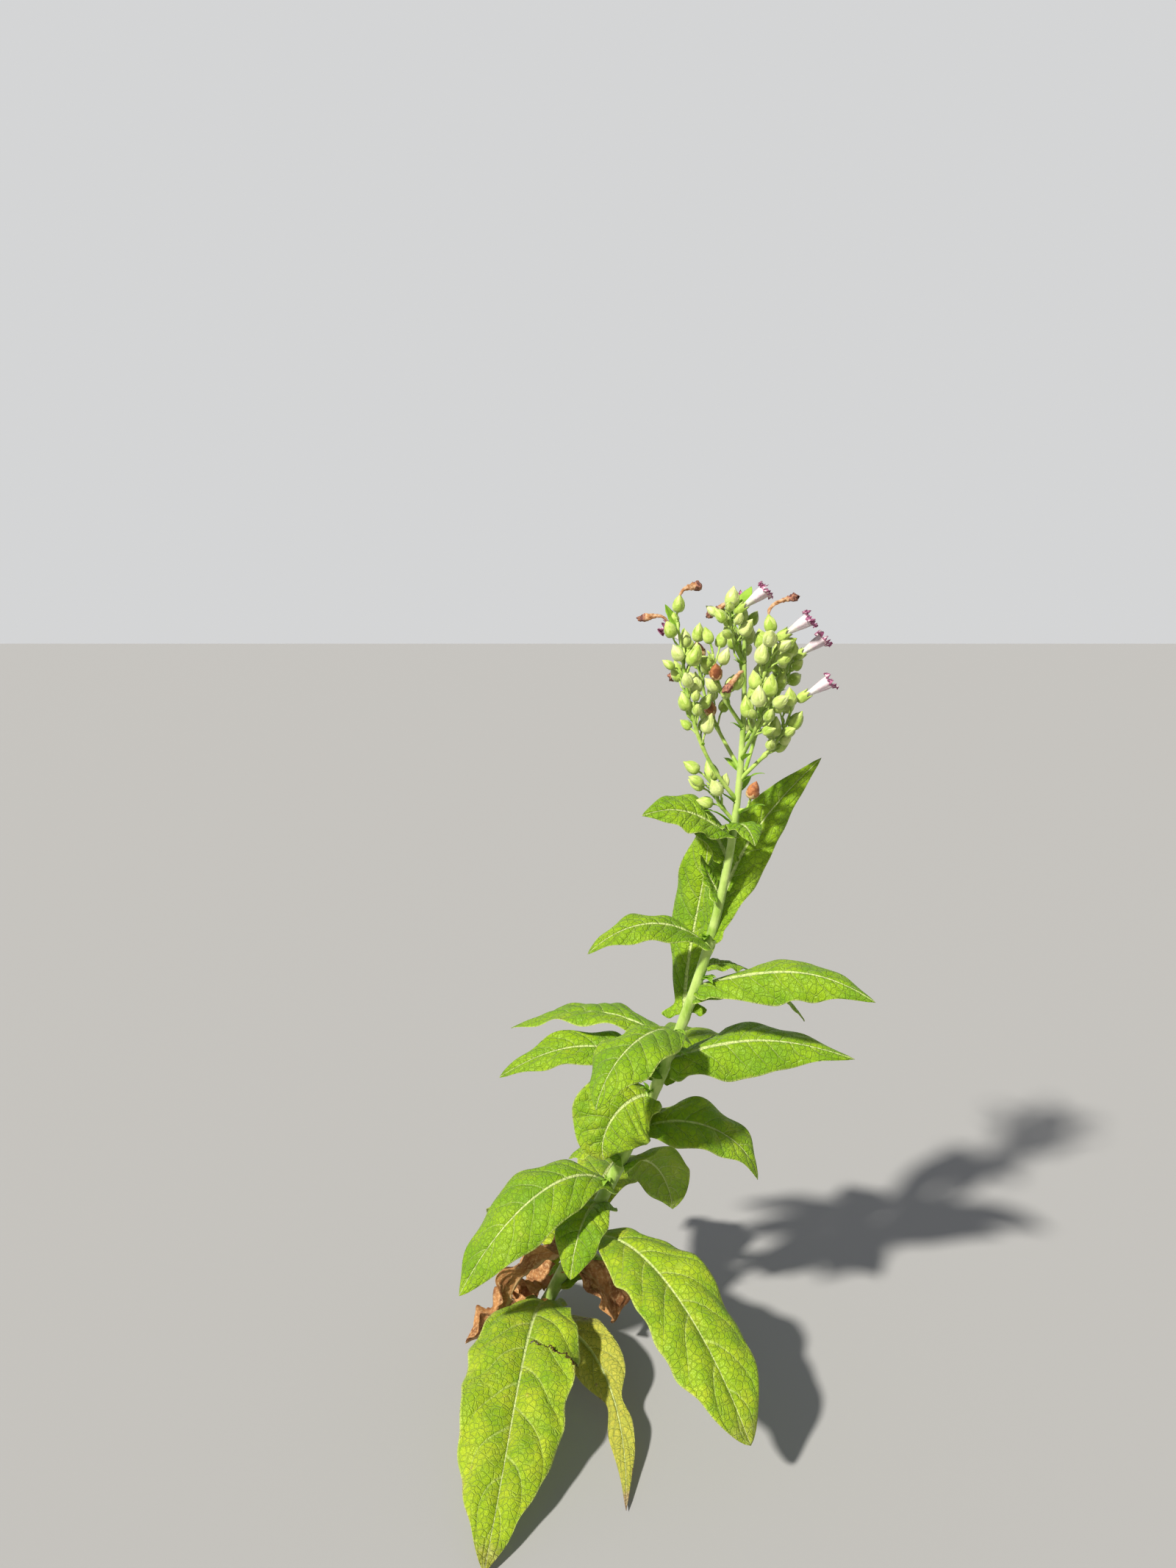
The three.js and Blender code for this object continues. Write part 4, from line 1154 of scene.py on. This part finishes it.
def flowerShell(flower, number):
    look, lean, seed = flowerLook, flower["lean"], 20 + number
    shut = number in look["shut"]
    side, third = frameOf(lean)
    places = range(len(look["out"]))
    steps = np.linspace(0, places[-1], look["rows"])
    out = np.interp(steps, places, look["out"])[:, None]
    radius = np.interp(steps, places, look["shutRadius" if shut else "radius"])[:, None]
    angle = anglesRound(look["sides"])[None]

    def uneven(moreSeed, turns, *places):
        return unevenness(seed + moreSeed, np.cos(angle) * turns, np.sin(angle) * turns, *places)

    limb = np.clip((radius - look["throat"]) / look["limb"], 0, 1)
    lobe = np.abs(np.cos(angle * 2.5)) ** 0.8
    folds = uneven(0, 1.6, limb)
    radius = radius * (1 - look["lobe"] * limb * (1 - lobe) - 0.3 * limb * np.abs(folds))
    radius = radius * (1 + 0.06 * np.cos(angle * 5) * np.clip(out / 40, 0, 1))
    crumpled = uneven(9, 2.6, limb * 1.2)
    out = out + look["ruffle"] * limb * np.sin(angle * 10 + seed) + look["crumple"] * limb * crumpled
    if shut:
        radius = radius * (1 + 0.3 * np.clip(out / 20 - 2, 0, 1) * folds)
    bend = look["droop"] * (out / 50) ** 2
    centre = flower["foot"] + lean * out[..., None] - up * bend[..., None]
    ring = ringAt(side, third, angle)
    outer = centre + ring * radius[..., None]
    inner = centre + ring * np.maximum(0.4, radius - look["thickness"])[..., None]
    inner = inner + lean * (limb * look["thickness"])[..., None]
    keep = np.ones((look["rows"] - 1, look["sides"]), bool)
    shape, used, sheets = slab(outer, inner, keep, wrap=True)
    streaks = uneven(5, 3.5, limb * 0.5)[1:]
    middle, rim = (out[1:] + out[:-1]) / 2 + 0 * streaks, (limb[1:] + limb[:-1]) / 2 + 0 * streaks
    outside = np.where(rim > 0.1, np.where((streaks > -0.1) | (rim > 0.85), 2, 1), middle > look["blushFrom"])
    finish = np.full(len(shape[1]), 2, np.int32)
    finish[0:sheets:2] = outside.ravel()
    # Inside, the tube takes the dark purple rim finish as painted shade in the throat. On the lobes, the
    # purple is their own colour, with pale streaks.
    finish[1:sheets:2] = np.where((rim > 0.1) & (streaks < -0.15), 1, 2).ravel()
    return shape, finish


def makeFlowers():
    shapes, finishes, anthers = [], [], []
    for number, flower in enumerate(flowers):
        shape, finish = flowerShell(flower, number)
        shapes.append(shape)
        finishes.append(finish)
        lean = flower["lean"]
        side, third = frameOf(lean)
        for i in range(0 if number in flowerLook["shut"] else 6):
            angle = i * 1.2 + number
            away = (side * math.cos(angle) + third * math.sin(angle)) * (2.6 if i else 0.3)
            foot = flower["foot"] + lean * 22 + away * 0.4
            tip = flower["foot"] + lean * (45.5 + 1.6 * math.sin(i * 2.3)) + away - up * 2
            anthers.append(tube([foot, (foot + tip) / 2, tip], 0.25, 5))
            length = 2.6 if i else 1.2
            rows = [tip + lean * length * k for k in (-0.5, -0.3, 0, 0.3, 0.5)]
            anthers.append(tube(rows, (0.3, 0.75, 0.95, 0.75, 0.3), 7))
    headPiece("flowers", shapes, ["petalTube", "petalBlush", "petalRim"], np.concatenate(finishes))
    headPiece("anthers", anthers, ["antherSkin"])


makeFlowers()

# Withered flowers hang on from some pods as twisted, papery tubes with a dark, crumpled end. Each row
# is its pod, bearing, rise and length.
witheredFlowers = [
    (11, 182, 4, 38), (54, 184, -16, 48), (50, 350, 32, 44), (12, 20, 24, 30), (40, 205, -45, 34),
    (26, 150, -20, 30),
]
witheredFlowerLook = {
    "rings": 34, "sides": 16, "share": (0, 0.08, 0.35, 0.6, 0.8, 0.92, 1),
    "radii": (0.9, 1.7, 2.1, 2.9, 4.4, 4.9, 2.6), "darkFrom": 0.76, "wave": 1.7, "crumple": 1.5,
}


def makeWitheredFlowers():
    shapes, finishes = [], []
    look = witheredFlowerLook
    share = np.linspace(0, 1, look["rings"])
    weight = np.repeat(0.4 + 1.5 * share**2, look["sides"])[:, None]
    dark = np.repeat(share[1:] > look["darkFrom"], look["sides"])

    def uneven(seed, points):
        return np.stack([unevenness(seed + k, *points.T) for k in range(3)], -1)

    for number, (podNumber, bearing, rise, length) in enumerate(witheredFlowers):
        pod = allSpots[podNumber]
        start = pod["foot"] + pod["lean"] * head["podLength"] * podLook["longer"] * pod["size"] * 0.9
        end = start + outward(bearing, rise) * length
        before = end - outward(bearing, rise - 25) * length * 0.4
        line = bentPath(start, start + pod["lean"] * length * 0.35, before, end, look["rings"])
        points, faces = tube(line, np.interp(share, look["share"], look["radii"]), look["sides"])
        wave, fine = uneven(60 + number * 3, points / 12), uneven(80 + number * 3, points / 4.5)
        shapes.append((points + (wave * look["wave"] + fine * look["crumple"]) * weight, faces))
        finishes.append(np.concatenate([dark, [False, True]]))
    headPiece("withered_flowers", shapes, ["driedPetal", "driedRim"], np.concatenate(finishes))


makeWitheredFlowers()
print("flowers made")


# A small narrow leaf from its start, in a direction, closed all round.
def bract(start, direction, length, width, seed, droop=0.25):
    t, v = np.linspace(0, 1, 15), np.linspace(1, -1, 9)
    end = unit(direction - up * droop)
    line = (start, start + direction * length * 0.4, start + direction * length * 0.75, start + end * length)
    tangent = tangentAt(line, t)
    across = unit(np.cross(up, tangent))
    normal = np.cross(tangent, across)
    alongGrid, acrossGrid = np.meshgrid(t, v, indexing="ij")
    aside = np.abs(acrossGrid)
    half = np.sin(math.pi * np.clip(alongGrid**0.75, 0, 1)) ** 0.9 + 0.12 * (1 - alongGrid) + 0.03
    half = half * width / 2
    lift = 0.35 * aside - 0.25 * aside**2 + 0.2 * aside * unevenness(seed, alongGrid * 3, acrossGrid)
    upper = pointAt(line, t)[:, None] + spread(across, acrossGrid * half) + spread(normal, half * lift)
    rib = 0.25 + 0.5 * hump(acrossGrid, 0.16) * (1 - 0.8 * alongGrid)
    return slab(upper, upper - spread(normal, rib), np.ones((len(t) - 1, len(v) - 1), bool))[0]


# One bract under each branch and each lower twig, and two larger ones high up.
def makeBracts():
    shapes = []
    for index, branch in enumerate(branches):
        middle, low, radius = onStem(branch["at"])
        away = unit(outward(branch["bearing"]) - low * 0.1)
        length = 46 - 3 * index if index < 9 else 16
        start = middle - low * 2 + away * radius * 0.8
        shapes.append(bract(start, unit(away + low * 0.9), length, length * 0.36, index))
    for index, twig in enumerate(twigs):
        away = unit(unit(twig["fork"] - twig["start"]) - up * 0.3)
        length = 8 + 5 * ((index * 37) % 10) / 10
        shapes.append(bract(twig["start"] + away * 1.3, away, length, length * 0.34, 50 + index))
    shapes.append(bract(pointAt(paths[11], 0.94), outward(48, 44), 62, 24, 91, 0))
    shapes.append(bract(pointAt(paths[2], 0.97), outward(128, 50), 40, 15, 92, 0))
    headPiece("bracts", shapes, ["bractSkin"])


# Young side shoots: a tuft of small leaves in the axils of some leaves.
shoots = {
    "nodes": [8, 11, 13, 15, 16, 18, 21, 23], "above": 0.006, "leaves": 5, "spread": 70,
    "lengths": (11, 26),
}


def makeShoots():
    shapes = []
    for index in shoots["nodes"]:
        leaf = leaves[index - 1]
        _, low, radius = onStem(leaf["at"])
        random = np.random.default_rng(700 + index)
        foot = onStem(leaf["at"] + shoots["above"])[0] + outward(leaf["bearing"]) * radius * 0.9
        for i in range(shoots["leaves"]):
            aside = outward(leaf["bearing"] + random.uniform(-shoots["spread"], shoots["spread"]))
            direction = unit(aside * random.uniform(0.35, 1) + low)
            length = random.uniform(*shoots["lengths"])
            shapes.append(bract(foot, direction, length, length * 0.42, 800 + index * 7 + i, 0.5))
    finishPiece(makePiece("side_shoots", joined(shapes), [plain["bractSkin"]]), ["stem"])


makeBracts()
makeShoots()
print("bracts and side shoots made")

# Short soft hairs all over the stem.
hairs = {"Density": 62000.0, "Length": 0.0012, "Radius": 0.00007, "Lowest": 0.004, "Seed": 11}


def hairsOnSkin(work, given):
    height = work.node("ShaderNodeSeparateXYZ", {0: work.node("GeometryNodeInputPosition")}, output=2)
    high = work.node("FunctionNodeCompare", {"A": height, "B": given["Lowest"]})
    inputs = {"Mesh": given["Skin"], "Selection": high, "Density": given["Density"], "Seed": given["Seed"]}
    points = work.node("GeometryNodeDistributePointsOnFaces", inputs)
    inputs = {"Min": (-0.5, -0.5, -0.5), "Max": (0.5, 0.5, 0.5), "Seed": given["Seed"]}
    lean = work.node("FunctionNodeRandomValue", inputs, "Value", data_type="FLOAT_VECTOR")
    aim = work.node("ShaderNodeVectorMath", {0: points.node.outputs["Normal"], 1: lean}, operation="ADD")
    align = work.node("FunctionNodeAlignRotationToVector", {"Vector": aim}, axis="Z")
    inputs = {"Vertices": 3, "Depth": given["Length"], "Radius Bottom": given["Radius"]}
    cone = work.node("GeometryNodeMeshCone", inputs)
    return work.node("GeometryNodeInstanceOnPoints", {"Points": points, "Instance": cone, "Rotation": align})


def makeHairs():
    given = {"Skin": "Geometry", **{name: "Float" for name in hairs}, "Seed": "Int", "Finish": "Material"}
    tree = geometryTree("stemHairs", given, hairsOnSkin)
    skin = addObject("stem_hairs", stemPiece.data.copy())
    piece = madePlain(skin, tree, {**hairs, "Finish": plain["hairSkin"]})
    finishPiece(piece, ["stem"])


makeHairs()
print("hairs made")
